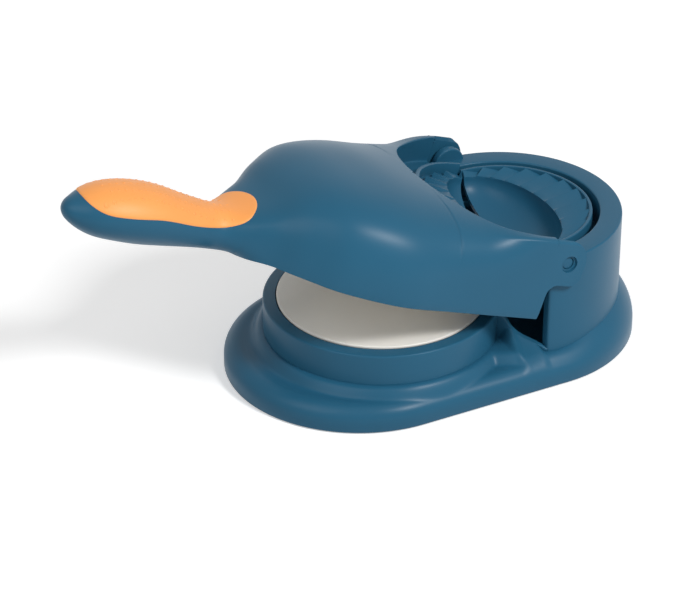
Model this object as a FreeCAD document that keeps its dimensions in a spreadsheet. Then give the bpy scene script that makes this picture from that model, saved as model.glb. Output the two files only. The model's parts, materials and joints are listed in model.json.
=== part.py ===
import FreeCAD, Part
import math
import os
import Sketcher
from FreeCAD import Matrix, Placement, Rotation, Vector

# Dumpling maker: a base with a dough press at one end and a folding mould at the other.
# One arm turns on two pins. Down, it presses dough between two discs. Lifted right over,
# it folds the moving half of the mould onto the fixed half.
# Millimetres, +Z up, handle towards -X. The origin is on the table, under the middle of the
# part as it stands with its arm raised to the open angle.

# Driving sizes
# Places along X are counted from the axis of the press discs, and heights from the table.
# A value that starts with = is a formula of the sheet, so that a piece follows what carries it.
SIZES = [
    ("open_angle", 20, "how far the arm stands open, in degrees"),
    ("pivot_reach", 60, "press axis to hinge axis"),
    ("pivot_height", 56.4, "hinge axis above the table"),
    ("wall", 2.5, "moulded wall"),
    ("seat_gap", 0.2, "gap between pieces that sit in each other"),
    ("overrun", 4, "how far a cut runs past its face"),
    # Press plates
    ("plate_radius", 45, "both press discs"),
    ("plate_height", 31.4, "lower disc's edge"),
    ("plate_crown", 0.6, "how much a disc is domed"),
    ("plate_thickness", 2.6, "rim of a disc"),
    ("plate_overhang", 11, "disc beyond the ring under it"),
    ("plate_spigot", "=plate_radius - plate_overhang", "radius of the ring under a disc"),
    ("plate_spigot_depth", 5, "depth of that ring"),
    ("plate_rounding", 0.8, "rounded edge of a disc"),
    ("plate_screw_inset", 14, "screws under the lower disc in from its ring"),
    ("plate_screw_circle", "=plate_spigot - plate_screw_inset", "screws under the lower disc"),
    ("plate_screw_angle", 60, "first of those screws from the long axis, in degrees"),
    ("dough_gap", 1.2, "thickness of dough left between the discs"),
    # Dish ring
    ("dish_wall", 5.7, "ring round the lower plate"),
    ("dish_radius", "=plate_radius + seat_gap + dish_wall", "outside of that ring"),
    ("plate_proud", 0.8, "lower disc's edge above the ring"),
    ("dish_height", "=plate_height - plate_proud", "top edge of the ring"),
    ("dish_step", 2.9, "step at the ring's root"),
    ("dish_step_rise", 4, "top of that step above the foot"),
    ("dish_slope", 1.2, "fall of the ring's top towards the plate"),
    # Foot
    ("foot_margin", 7.4, "foot beyond the dish ring"),
    ("foot_radius", "=dish_radius + foot_margin", "half width of the foot"),
    ("foot_front", 10.8, "press axis to the centre of the foot's front arc"),
    ("foot_height", 13, "top of the foot"),
    ("foot_rounding", 8, "rounding of the foot's upper edge"),
    ("foot_proud", 0.5, "how far the rubber feet stand below the foot"),
    ("foot_sink", 1.4, "how deep the rubber feet sit in the cover"),
    ("foot_pad_radius", 8, "rubber foot"),
    ("foot_pad_inset", 19, "rubber foot centre in from the foot's edge"),
    ("foot_pad_spread", 35, "angle of a rubber foot from the long axis, in degrees"),
    ("cover_thickness", 2.4, "cover under the base"),
    ("cover_rebate", 1.2, "lip of the foot round its cover"),
    ("cover_screw_inset", 7.5, "cover screw in from the foot's edge"),
    ("cover_screw_spread", 62, "angle between cover screws round an end, in degrees"),
    # Mould housing
    ("housing_margin", 7, "foot beyond the housing"),
    ("housing_radius", "=foot_radius - housing_margin", "outside of the housing"),
    ("housing_wall", 9.7, "double wall of the housing"),
    ("housing_bore", "=housing_radius - housing_wall", "inside of the housing"),
    ("rim_rise", 1.2, "rim of the housing above the hinge axis"),
    ("housing_height", "=pivot_height + rim_rise", "rim of the housing"),
    ("housing_front", 7.2, "hinge axis to the housing's open front"),
    ("scoop_reach", 24, "hinge axis to where the low wall in front of the housing starts"),
    ("shelf_drop", 12, "shelf for the fixed mould half below the hinge axis"),
    ("shelf_width", 9, "width of that shelf"),
    ("shelf_thickness", 3, "thickness of that shelf"),
    ("flare_rise", 9, "flare behind the housing above the foot"),
    ("lug_radius", 7.3, "rounded hinge lug"),
    ("lug_thickness", 3.3, "hinge lug"),
    # Hinge pins
    ("pin_radius", 2.9, "hinge pin"),
    ("pin_clearance", 0.05, "play of a pin in its ear"),
    ("pin_rebate", 1.3, "round recess over a pin's end beyond the pin"),
    ("pin_recess_radius", "=pin_radius + pin_rebate", "that recess"),
    ("pin_recess_depth", 1.1, "depth of that recess"),
    ("pin_length", 8, "hinge pin"),
    # Press arm
    ("ear_play", 0.5, "gap between the housing and an ear"),
    ("ear_inner", "=housing_radius + ear_play", "inner face of an ear"),
    ("ear_wall", 2.6, "wall of an ear"),
    ("arm_half_width", "=ear_inner + ear_wall", "arm at the hinge"),
    ("floor_drop", 1.4, "lower edge of the closed arm below the lower disc's edge"),
    ("arm_floor", "=plate_height - floor_drop", "lower edge of the closed arm"),
    ("crest_rise", 12.6, "highest point of the closed arm's dome above the hinge axis"),
    ("arm_crest", "=pivot_height + crest_rise", "highest point of the closed arm's dome"),
    ("arm_lead", 11.7, "dome beyond the dish ring"),
    ("arm_reach", "=dish_radius + arm_lead", "press axis to the front of the dome"),
    ("arm_front", 8.6, "press axis to the centre of the dome's front arc"),
    ("rear_gap", 6.5, "hinge axis to the rear edge of the arm's sides"),
    ("arm_rear", "=pivot_reach - rear_gap", "press axis to that edge"),
    ("handle_length", 86.8, "handle beyond the dome"),
    ("handle_reach", "=arm_reach + handle_length", "press axis to the handle's tip"),
    ("handle_half_width", 15.2, "widest part of the handle"),
    ("handle_half_thickness", 12.2, "thickest part of the handle"),
    ("handle_rise", 8, "middle of the handle above the dome's lower edge"),
    ("handle_height", "=arm_floor + handle_rise", "middle of the handle, arm closed"),
    ("grip_thickness", 2.4, "soft inset on the handle"),
    ("grip_rise", 2.4, "inset's edge above the middle of the handle"),
    ("grip_split", "=handle_height + grip_rise", "height of the inset's edge, arm closed"),
    ("ear_radius", 10, "rounded upper end of an ear"),
    ("ear_corner", 5, "rounded lower end of an ear"),
    ("ear_reach", 8.2, "hinge axis to the end of an ear"),
    ("ear_drop", 10, "underside of an ear below the hinge axis, arm closed"),
    ("ear_under", "=pivot_height - ear_drop", "underside of an ear"),
    ("ear_rise", 10.2, "top of an ear above the hinge axis, arm closed"),
    ("ear_top", "=pivot_height + ear_rise", "top of an ear"),
    ("recess_radius", "=ear_inner", "recess round the moving mould half"),
    ("recess_drop", 1.6, "recess floor below the hinge axis"),
    ("recess_floor", 2.2, "thickness of the recess floor"),
    ("recess_rear", 9.5, "hinge axis to the rear edge of the recess floor"),
    # Carrier of the upper disc
    ("carrier_play", 0.5, "gap between the carrier and the dome"),
    ("carrier_radius", "=ear_inner - carrier_play", "carrier under the dome"),
    ("carrier_thickness", 3.4, "carrier under the dome"),
    ("carrier_gap", 16, "hinge axis to the carrier's rear edge"),
    ("carrier_rear", "=pivot_reach - carrier_gap", "press axis to the carrier's rear edge"),
    ("carrier_screw_front", 36, "press axis to the carrier's front screws"),
    ("carrier_screw_rear", 5, "press axis to the carrier's rear screws"),
    ("carrier_screw_front_side", 28, "front screws from the middle line"),
    ("carrier_screw_rear_side", 42, "rear screws from the middle line"),
    # Mould halves
    ("mould_gap", 0.4, "gap between the mould halves when folded"),
    ("moving_ring_play", 0.6, "gap between the housing's bore and the moving ring"),
    ("moving_ring_radius", "=housing_bore - moving_ring_play", "outside of the moving ring"),
    ("moving_ring_wall", 1.9, "wall of the moving ring"),
    ("moving_ring_bore", "=moving_ring_radius - moving_ring_wall", "inside of the moving ring"),
    ("moving_ring_height", 3.4, "moving ring above the hinge axis"),
    ("fixed_ring_play", 0.8, "gap between the two rings when folded"),
    ("fixed_ring_radius", "=moving_ring_bore - fixed_ring_play", "outside of the fixed ring"),
    ("fixed_ring_wall", 1.5, "wall of the fixed ring"),
    ("fixed_ring_bore", "=fixed_ring_radius - fixed_ring_wall", "inside of the fixed ring"),
    ("fixed_ring_height", 1.2, "fixed ring above the hinge axis"),
    ("bowl_depth", 15, "depth of a mould half's bowl"),
    ("bowl_land", 2.3, "rim between the bowl's ends and the fixed ring"),
    ("bowl_half_length", "=fixed_ring_bore - bowl_land", "half length of the bowl, across the part"),
    ("bowl_reach", 20.5, "reach of the bowl from the hinge axis"),
    ("bowl_wall", 1.8, "wall of the bowl"),
    ("land_thickness", 3, "rim that carries the pleat teeth"),
    ("tooth_height", 2.6, "pleat tooth"),
    ("tooth_inner", 26, "inner end of a pleat tooth"),
    ("tooth_outer", "=fixed_ring_bore - seat_gap", "outer end of a pleat tooth"),
    ("tooth_count", 12, "pleat teeth in a mould half"),
    ("tooth_play", 0.5, "angle left free at each side of a tooth, in degrees"),
    ("flange_thickness", 2, "mounting flange of a mould half"),
    ("moving_flange_drop", 8, "underside of the moving half's tabs below the hinge axis"),
    ("recess_play", 2, "gap between the moving ring and the hole in the recess floor"),
    ("recess_hole", "=moving_ring_radius + recess_play", "hole in the recess floor"),
    ("moving_screw_inset", 3.5, "screws of the moving half beyond that hole's edge"),
    ("moving_screw_circle", "=recess_hole + moving_screw_inset", "screws of the moving half"),
    ("fixed_screw_inset", 6, "screws of the fixed half in from the housing's bore"),
    ("fixed_screw_circle", "=housing_bore - fixed_screw_inset", "screws of the fixed half"),
    ("mould_screw_spread", 52, "angle between a mould half's screws, in degrees"),
    # Screws
    ("screw_radius", 1.4, "thread of a screw"),
    ("screw_head_radius", 2.6, "head of a screw"),
    ("screw_head_height", 1.5, "head of a screw"),
    ("screw_length", 6, "screw under its head"),
    ("boss_radius", 3.4, "screw boss"),
]

doc = FreeCAD.newDocument("DumplingMaker")
sheet = doc.addObject("Spreadsheet::Sheet", "Sizes")
for row, (alias, value, note) in enumerate(SIZES, start=1):
    sheet.set("A%d" % row, alias)
    sheet.set("B%d" % row, str(value))
    sheet.set("C%d" % row, note)
    sheet.setAlias("B%d" % row, alias)
doc.recompute()

# Shares
# Handle stations from its tip to the dome: place along the handle, half width, half thickness
# and drop of the middle, as shares of the handle's length, half width and half thickness
HANDLE_STATION_SHARES = [
    (0.004, 0.13, 0.13, -0.10),
    (0.020, 0.30, 0.30, -0.10),
    (0.045, 0.44, 0.44, -0.10),
    (0.083, 0.62, 0.61, -0.08),
    (0.161, 0.84, 0.84, -0.04),
    (0.250, 0.96, 0.95, 0.00),
    (0.370, 1.00, 1.00, 0.00),
    (0.499, 0.94, 0.95, -0.04),
    (0.600, 0.86, 0.86, -0.11),
    (0.700, 0.785, 0.785, -0.17),
    (0.800, 0.765, 0.75, -0.21),
]
# Dome stations from its front to the ends of the ears: place along the dome, half width and
# top as shares of the dome's length, half width and height, then how square the section is
DOME_STATION_SHARES = [
    (-0.050, 0.300, 0.400, 2.1),
    (0.022, 0.425, 0.440, 2.2),
    (0.065, 0.542, 0.530, 2.3),
    (0.110, 0.650, 0.650, 2.4),
    (0.165, 0.755, 0.775, 2.5),
    (0.235, 0.862, 0.885, 2.6),
    (0.320, 0.942, 0.965, 2.7),
    (0.420, 0.988, 1.000, 2.8),
    (0.540, 1.000, 0.990, 3.1),
    (0.660, 1.000, 0.965, 3.7),
    (0.780, 1.000, 0.950, 4.8),
    (0.900, 1.000, 0.940, 6.5),
    (0.970, 1.000, 0.938, 7.2),
    (1.030, 1.000, 0.938, 7.5),
    (1.095, 1.000, 0.938, 7.8),
    (1.160, 1.000, 0.938, 8.0),
]
# Lower half of every section: the handle is round, and the dome's sides run down past its edge
DOME_WAIST_SHARE = 0.10
DOME_KEEL_SHARE = 0.42
KEEL_SQUARENESS = 3
# The neck between handle and dome: its lowest level, and how the arm's lower edge dips under it
NECK_KEEL_SHARE = 0.75
NECK_LENGTH_SHARE = 0.2
NECK_DIP_SHARES = [(0.5, 0.083), (1, 0.5)]
# Top of the low wall in front of the housing: place along it, and how far it has fallen
SCOOP_EDGE_SHARES = [(0, 0), (0.24, 0.365), (0.77, 0.77), (1, 1)]
# Edge of the soft inset, from the handle's tip to its inner end: place along the handle, and
# height above the split as shares of the handle's length and half thickness
GRIP_EDGE_SHARES = [
    (0.018, 0.60),
    (0.085, 0.15),
    (0.180, -0.01),
    (0.360, 0.02),
    (0.590, -0.09),
    (0.720, -0.14),
    (0.835, -0.07),
    (0.915, 0.13),
    (0.985, 0.45),
    (1.000, 0.75),
]
TOOTH_INNER_SHARE = 0.2
PLATE_SCREW_COUNT = 3


def size(name):
    return float(sheet.get(name))


# Placement
# Every piece is drawn with the arm closed and the press axis at zero. The arm's pieces are then
# turned open about the hinge axis, and the whole part is moved so that its middle is at the origin.
def turned_open(x, z):
    angle = math.radians(size("open_angle"))
    run = x - size("pivot_reach")
    rise = z - size("pivot_height")
    new_run = run * math.cos(angle) + rise * math.sin(angle)
    new_rise = rise * math.cos(angle) - run * math.sin(angle)
    return size("pivot_reach") + new_run, size("pivot_height") + new_rise


def middle():
    # The raised handle reaches furthest at the lower edge of its tip
    place, width, thickness, drop = HANDLE_STATION_SHARES[0]
    tip_x = place * size("handle_length") - size("handle_reach")
    tip_z = size("handle_height") + (drop - thickness) * size("handle_half_thickness")
    tip = turned_open(tip_x, tip_z)[0]
    back = size("pivot_reach") + size("foot_radius")
    return (tip + back) / 2


SHIFT = Vector(-middle(), 0, 0)
HINGE = Vector(size("pivot_reach"), 0, size("pivot_height"))
ACROSS = Vector(0, 1, 0)
UP = Vector(0, 0, 1)


def stand(piece, local=Vector(0, 0, 0)):
    piece.Placement = Placement(local + SHIFT, Rotation())


def swing(piece, local=Vector(0, 0, 0), flip=Rotation()):
    opened = Placement(Vector(0, 0, 0), Rotation(ACROSS, size("open_angle")), HINGE)
    moved = Placement(SHIFT, Rotation())
    piece.Placement = moved.multiply(opened).multiply(Placement(local, flip))


PIECES = []


def keep(piece, label):
    piece.Label = label
    PIECES.append(piece)
    return piece


def shaped(label, shape):
    piece = doc.addObject("Part::Feature", label)
    piece.Shape = shape
    return keep(piece, label)


# Solids from plain outlines
def cylinder(radius, low, high, x=0, y=0):
    return Part.makeCylinder(radius, high - low, Vector(x, y, low))


def cross_cylinder(radius, y_low, y_high, x, z):
    return Part.makeCylinder(radius, y_high - y_low, Vector(x, y_low, z), ACROSS)


def box(x_low, x_high, y_low, y_high, z_low, z_high):
    corner = Vector(x_low, y_low, z_low)
    return Part.makeBox(x_high - x_low, y_high - y_low, z_high - z_low, corner)


def stadium(radius, x_front, x_rear, low, high):
    middle_block = box(x_front, x_rear, -radius, radius, low, high)
    ends = [cylinder(radius, low, high, x_front), cylinder(radius, low, high, x_rear)]
    return middle_block.fuse(ends).removeSplitter()


def closed_wire(points):
    return Part.makePolygon(list(points) + [points[0]])


def revolved(points, x=0):
    wire = closed_wire([Vector(x + radius, 0, height) for radius, height in points])
    return Part.Face(wire).revolve(Vector(x, 0, 0), UP, 360)


def side_extrusion(edges, half_width):
    # Edges of a closed outline in the XZ plane, drawn out to both sides
    face = Part.Face(Part.Wire(Part.__sortEdges__(edges)))
    face.translate(Vector(0, -half_width, 0))
    return face.extrude(Vector(0, 2 * half_width, 0))


def side_path(points):
    corners = [Vector(x, 0, z) for x, z in points]
    return Part.makePolygon(corners).Edges


def side_curve(points):
    curve = Part.BSplineCurve()
    curve.interpolate([Vector(x, 0, z) for x, z in points])
    return curve.toShape()


def edges_at(shape, test):
    return [edge for edge in shape.Edges if test(edge.BoundBox)]


def circle_places(radius, count, first, step):
    # Places on a circle about zero, angles in degrees from +X
    angles = [math.radians(first + step * n) for n in range(count)]
    return [(radius * math.cos(angle), radius * math.sin(angle)) for angle in angles]


# Base shell
FOOT_LOW = size("foot_proud")
FOOT_FRONT = -size("foot_front")
FOOT_REAR = size("pivot_reach")
COVER_LOW = FOOT_LOW + size("cover_rebate")
COVER_TOP = COVER_LOW + size("cover_thickness")
DISH_FLOOR = size("plate_height") - size("plate_thickness") - size("seat_gap")
DISH_WELL = DISH_FLOOR - size("plate_spigot_depth") - size("seat_gap")
SHELF = size("pivot_height") - size("shelf_drop")


def foot_block():
    block = stadium(size("foot_radius"), FOOT_FRONT, FOOT_REAR, FOOT_LOW, size("foot_height"))
    upper = edges_at(block, lambda bound: bound.ZMin > size("foot_height") - size("wall"))
    return block.makeFillet(size("foot_rounding"), upper)


def dish_ring():
    radius = size("dish_radius")
    step = radius + size("dish_step")
    step_top = size("foot_height") + size("dish_step_rise")
    root = size("foot_height") - size("overrun")
    return revolved([
        (0, root),
        (step, root),
        (step, step_top - size("wall") / 2),
        (step - size("wall") / 2, step_top),
        (radius + size("seat_gap"), step_top + size("wall") / 2),
        (radius, size("dish_height")),
        (0, size("dish_height")),
    ])


def rear_flare():
    # The foot climbs the housing towards the rear, so a slanted plane trims this skirt
    x = size("pivot_reach")
    root = size("foot_radius") - size("wall") / 2
    neck = size("housing_radius") + size("seat_gap")
    low = size("foot_height") - size("foot_rounding") / 2
    high = size("foot_height") + size("flare_rise")
    skirt = revolved([
        (0, low),
        (root, low),
        (neck + size("wall"), (low + high) / 2),
        (neck, high),
        (0, high),
    ], x)
    reach = size("foot_radius") + size("overrun")
    front = x - size("housing_front")
    slant = side_extrusion(side_path([
        (front, low),
        (x + reach, low),
        (x + reach, high + size("overrun")),
        (x + size("housing_radius"), high),
        (front, size("foot_height")),
        (front, low),
    ]), reach)
    return skirt.common(slant)


def hinge_lugs():
    outer = size("housing_radius")
    inner = outer - size("lug_thickness")
    x = size("pivot_reach")
    z = size("pivot_height")
    return [
        cross_cylinder(size("lug_radius"), inner, outer, x, z),
        cross_cylinder(size("lug_radius"), -outer, -inner, x, z),
    ]


def front_scoop():
    # Side view of the space in front of the housing, open above the dish ring
    front = size("pivot_reach") - size("housing_front")
    low = size("foot_height") + size("seat_gap")
    level = size("dish_height")
    high = size("arm_crest") + size("overrun")
    far = -size("handle_reach")
    crease = size("pivot_reach") - size("scoop_reach")
    edge = side_curve([
        (crease + place * (front - crease), level + fall * (low - level))
        for place, fall in SCOOP_EDGE_SHARES
    ])
    frame = side_path([(front, low), (front, high), (far, high), (far, level), (crease, level)])
    return side_extrusion([edge] + frame, size("arm_half_width") + size("overrun"))


def base_outside():
    x = size("pivot_reach")
    housing = cylinder(size("housing_radius"), FOOT_LOW, size("housing_height"), x)
    shell = foot_block().fuse([dish_ring(), housing, rear_flare()])
    return shell.cut(front_scoop()).fuse(hinge_lugs())


def plate_seat():
    # Seat of the lower disc, with the ring's sloping top
    bore = size("plate_radius") + size("seat_gap")
    rim = size("dish_radius") - size("seat_gap")
    top = size("dish_height") + size("overrun")
    seat = revolved([
        (0, DISH_FLOOR),
        (bore, DISH_FLOOR),
        (bore, size("dish_height") - size("dish_slope")),
        (rim, size("dish_height")),
        (rim, top),
        (0, top),
    ])
    return seat.fuse(cylinder(size("plate_spigot") + size("seat_gap"), DISH_WELL, top))


def housing_hollow():
    # Bore of the mould housing, the shelf for the fixed half and the hollow below that shelf
    x = size("pivot_reach")
    high = size("housing_height") + size("overrun")
    bore = cylinder(size("housing_bore"), SHELF, high, x)
    well = cylinder(size("housing_bore") - size("shelf_width"), COVER_TOP, high, x)
    inner = size("housing_radius") - size("wall")
    hollow = cylinder(inner, COVER_TOP, SHELF - size("shelf_thickness"), x)
    dish = cylinder(size("dish_radius"), FOOT_LOW, high)
    return bore.fuse([well, hollow]).cut(dish)


def housing_wall_gap():
    # The housing's upper wall is double and open from below, but solid round the pins
    x = size("pivot_reach")
    wall = size("wall")
    low = SHELF - size("shelf_thickness") - wall
    high = size("housing_height") - wall
    gap = cylinder(size("housing_radius") - wall, low, high, x)
    core = cylinder(size("housing_bore") + wall, low, high, x)
    ahead = x - size("housing_front") + wall
    reach = size("housing_radius")
    front = box(x - reach, ahead, -reach, reach, low, high)
    pins = cross_cylinder(size("lug_radius"), -reach, reach, x, size("pivot_height"))
    return gap.cut([core, front, pins])


def underside_hollows():
    wall = size("wall")
    inner = size("foot_radius") - wall
    roof = size("foot_height") - wall
    cover = stadium(inner + wall / 2, FOOT_FRONT, FOOT_REAR, FOOT_LOW - wall, COVER_TOP)
    foot_inner = inner - size("foot_rounding") / 4
    foot = stadium(foot_inner, FOOT_FRONT, FOOT_REAR, COVER_TOP - wall, roof)
    dish_inner = size("dish_radius") - wall
    dish = revolved([
        (0, roof - wall),
        (dish_inner, roof - wall),
        (dish_inner, DISH_FLOOR - wall),
        (size("plate_spigot") + wall, DISH_FLOOR - wall),
        (size("plate_spigot") + wall, DISH_WELL - wall),
        (0, DISH_WELL - wall),
    ])
    return [cover, foot, dish, housing_wall_gap()]


def cover_screw_places():
    # Three screws round each end of the foot
    reach = size("foot_radius") - size("cover_screw_inset")
    spread = size("cover_screw_spread")
    end = circle_places(reach, 3, -spread, spread)
    return [(FOOT_REAR + x, y) for x, y in end] + [(FOOT_FRONT - x, y) for x, y in end]


def lower_screw_places():
    step = 360 / PLATE_SCREW_COUNT
    return circle_places(
        size("plate_screw_circle"), PLATE_SCREW_COUNT, size("plate_screw_angle"), step,
    )


def fixed_screw_places():
    spread = size("mould_screw_spread")
    places = circle_places(size("fixed_screw_circle"), 3, -spread, spread)
    return [(size("pivot_reach") + x, y) for x, y in places]


def moving_screw_places():
    spread = size("mould_screw_spread")
    places = circle_places(size("moving_screw_circle"), 3, -spread, spread)
    return [(size("pivot_reach") - x, y) for x, y in places]


def foot_pad_places():
    reach = size("foot_radius") - size("foot_pad_inset")
    spread = size("foot_pad_spread")
    end = circle_places(reach, 2, -spread, 2 * spread)
    return [(FOOT_REAR + x, y) for x, y in end] + [(FOOT_FRONT - x, y) for x, y in end]


def pin_span(side):
    outer = size("arm_half_width") - size("pin_recess_depth")
    inner = outer - size("pin_length")
    return (inner, outer) if side > 0 else (-outer, -inner)


def base_screw_holes():
    radius = size("screw_radius")
    top = COVER_LOW + size("screw_head_height") + size("screw_length")
    holes = [cylinder(radius, COVER_LOW, top, x, y) for x, y in cover_screw_places()]
    low = DISH_WELL - size("wall") - size("overrun")
    holes += [cylinder(radius, low, DISH_FLOOR, x, y) for x, y in lower_screw_places()]
    low = SHELF - size("shelf_thickness") - size("overrun")
    holes += [cylinder(radius, low, SHELF, x, y) for x, y in fixed_screw_places()]
    return holes


def base_shell_shape():
    shell = base_outside()
    for hollow in [plate_seat(), housing_hollow()] + underside_hollows():
        shell = shell.cut(hollow)
    roof = size("foot_height") - size("wall") / 2
    pillars = [
        cylinder(size("boss_radius"), COVER_TOP, roof, x, y) for x, y in cover_screw_places()
    ]
    shell = shell.fuse(pillars)
    pin_bores = [
        cross_cylinder(size("pin_radius"), *pin_span(side), HINGE.x, HINGE.z) for side in (1, -1)
    ]
    return shell.cut(base_screw_holes() + pin_bores).removeSplitter()


stand(shaped("base_shell", base_shell_shape()))


# Pieces built on bound sketches
def named(text):
    # Puts the sheet's name before each size written in angle brackets
    return text.replace("<", "Sizes.").replace(">", "")


def value_of(expression):
    return float(sheet.evalExpression(expression))


def attached_sketch(body, name, role):
    sketch = body.newObject("Sketcher::SketchObject", name)
    planes = [item for item in body.Origin.OriginFeatures if item.Role == role]
    sketch.AttachmentSupport = [(planes[0], "")]
    sketch.MapMode = "FlatFace"
    return sketch


def bind_point(sketch, geometry, point, across, along):
    for kind, expression in (("DistanceX", across), ("DistanceY", along)):
        constraint = Sketcher.Constraint(kind, -1, 1, geometry, point, value_of(expression))
        index = sketch.addConstraint(constraint)
        sketch.setExpression("Constraints[%d]" % index, expression)


def outline_sketch(body, name, role, corners):
    # A closed outline of straight lines whose corners are bound to the sheet
    sketch = attached_sketch(body, name, role)
    corners = [(named(across), named(along)) for across, along in corners]
    points = [Vector(value_of(across), value_of(along), 0) for across, along in corners]
    count = len(points)
    for n in range(count):
        sketch.addGeometry(Part.LineSegment(points[n], points[(n + 1) % count]))
    for n in range(count):
        sketch.addConstraint(Sketcher.Constraint("Coincident", n, 2, (n + 1) % count, 1))
    for n, (across, along) in enumerate(corners):
        bind_point(sketch, n, 1, across, along)
    return sketch


def circle_sketch(body, name, role, circles):
    # Circles given as the expressions of their centre and radius
    sketch = attached_sketch(body, name, role)
    for n, (across, along, radius) in enumerate(circles):
        across, along, radius = named(across), named(along), named(radius)
        centre = Vector(value_of(across), value_of(along), 0)
        sketch.addGeometry(Part.Circle(centre, UP, value_of(radius)))
        bind_point(sketch, n, 3, across, along)
        index = sketch.addConstraint(Sketcher.Constraint("Radius", n, value_of(radius)))
        sketch.setExpression("Constraints[%d]" % index, radius)
    return sketch


def new_body(label):
    return keep(doc.addObject("PartDesign::Body", label), label)


def finish_feature(body, feature):
    body.Tip = feature
    doc.recompute()
    return feature


def turned(body, corners):
    sketch = outline_sketch(body, "profile", "XZ_Plane", corners)
    feature = body.newObject("PartDesign::Revolution", "turned_form")
    feature.Profile = sketch
    feature.ReferenceAxis = (sketch, ["V_Axis"])
    feature.Angle = 360
    return finish_feature(body, feature)


def padded(body, sketch, length):
    feature = body.newObject("PartDesign::Pad", "raised_form")
    feature.Profile = sketch
    feature.setExpression("Length", named(length))
    return finish_feature(body, feature)


def pocketed(body, sketch, depth, backwards=False):
    before = body.Shape.Volume
    feature = body.newObject("PartDesign::Pocket", "cut_away")
    feature.Profile = sketch
    feature.Type = "Length"
    feature.setExpression("Length", named(depth))
    feature.Reversed = backwards
    finish_feature(body, feature)
    if body.Shape.Volume >= before:
        raise RuntimeError("a pocket in %s cuts nothing" % body.Label)
    return feature


def rounded(body, feature, test, radius):
    shape = feature.Shape
    names = ["Edge%d" % (n + 1) for n, edge in enumerate(shape.Edges) if test(edge.BoundBox)]
    fillet = body.newObject("PartDesign::Fillet", "rounded_edge")
    fillet.Base = (feature, names)
    fillet.setExpression("Radius", named(radius))
    return finish_feature(body, fillet)


def face_edge(bound):
    # The outer edge of a disc's working face, drawn level with the disc's thickness
    level = size("plate_thickness")
    return abs(bound.ZMax - level) < size("seat_gap") and bound.XMax > size("plate_spigot")


# Press discs, drawn with the working face up
def press_disc(label, crown):
    body = new_body(label)
    disc = turned(body, [
        ("0", "0"),
        ("<plate_spigot> - <wall>", "0"),
        ("<plate_spigot> - <wall>", "-<plate_spigot_depth>"),
        ("<plate_spigot>", "-<plate_spigot_depth>"),
        ("<plate_spigot>", "0"),
        ("<plate_radius>", "0"),
        ("<plate_radius>", "<plate_thickness>"),
        ("0", crown),
    ])
    rounded(body, disc, face_edge, "<plate_rounding>")
    return body


def lower_plate_bosses(body):
    step = 360 / PLATE_SCREW_COUNT
    turns = ["(<plate_screw_angle> + %g)" % (step * n) for n in range(PLATE_SCREW_COUNT)]
    across = ["<plate_screw_circle> * cos%s" % turn for turn in turns]
    along = ["<plate_screw_circle> * sin%s" % turn for turn in turns]
    outer = [(x, y, "<boss_radius>") for x, y in zip(across, along)]
    pads = circle_sketch(body, "boss_circles", "XY_Plane", outer)
    bosses = padded(body, pads, "<plate_spigot_depth>")
    bosses.Reversed = True
    doc.recompute()
    inner = [(x, y, "<screw_radius>") for x, y in zip(across, along)]
    holes = circle_sketch(body, "thread_circles", "XY_Plane", inner)
    holes.AttachmentOffset = Placement(Vector(0, 0, -size("plate_spigot_depth")), Rotation())
    holes.setExpression("AttachmentOffset.Base.z", named("-<plate_spigot_depth>"))
    pocketed(body, holes, "<plate_spigot_depth>", backwards=True)


lower_press_plate = press_disc("lower_press_plate", "<plate_thickness> + <plate_crown>")
lower_plate_bosses(lower_press_plate)
stand(lower_press_plate, Vector(0, 0, size("plate_height") - size("plate_thickness")))

UPPER_FACE = size("plate_height") + size("plate_crown") + size("dough_gap")
UPPER_BACK = UPPER_FACE + size("plate_thickness")
upper_press_plate = press_disc("upper_press_plate", "<plate_thickness>")
swing(upper_press_plate, Vector(0, 0, UPPER_BACK), Rotation(Vector(1, 0, 0), 180))


# Cover, rubber feet and hinge pins
def cover_shape():
    gap = size("seat_gap")
    edge = size("foot_radius") - size("wall") / 2 - gap
    plate = stadium(edge, FOOT_FRONT, FOOT_REAR, COVER_LOW, COVER_TOP)
    head = size("screw_head_radius") + gap
    depth = COVER_LOW + size("screw_head_height")
    cuts = [cylinder(head, FOOT_LOW, depth, x, y) for x, y in cover_screw_places()]
    thread = size("screw_radius") + gap
    cuts += [cylinder(thread, FOOT_LOW, COVER_TOP, x, y) for x, y in cover_screw_places()]
    pad = size("foot_pad_radius") + gap
    sink = COVER_LOW + size("foot_sink")
    cuts += [cylinder(pad, FOOT_LOW, sink, x, y) for x, y in foot_pad_places()]
    return plate.cut(cuts)


stand(shaped("base_cover", cover_shape()))

for number, (pad_x, pad_y) in enumerate(foot_pad_places(), start=1):
    foot_pad = new_body("foot_pad_%d" % number)
    pad_disc = turned(foot_pad, [
        ("0", "0"),
        ("<foot_pad_radius> - <foot_proud>", "0"),
        ("<foot_pad_radius>", "<foot_proud>"),
        ("<foot_pad_radius>", "<foot_proud> + <cover_rebate> + <foot_sink>"),
        ("0", "<foot_proud> + <cover_rebate> + <foot_sink>"),
    ])
    stand(foot_pad, Vector(pad_x, pad_y, 0))

for label, side in (("hinge_pin_near", -1), ("hinge_pin_far", 1)):
    pin = new_body(label)
    pin_form = turned(pin, [
        ("0", "0"),
        ("<pin_radius>", "0"),
        ("<pin_radius>", "<pin_length> - <seat_gap>"),
        ("<pin_radius> - <seat_gap>", "<pin_length>"),
        ("0", "<pin_length>"),
    ])
    inner_end = side * min(abs(y) for y in pin_span(side))
    lie = Rotation(Vector(1, 0, 0), -90 * side)
    pin.Placement = Placement(Vector(HINGE.x, inner_end, HINGE.z) + SHIFT, lie)


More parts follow.
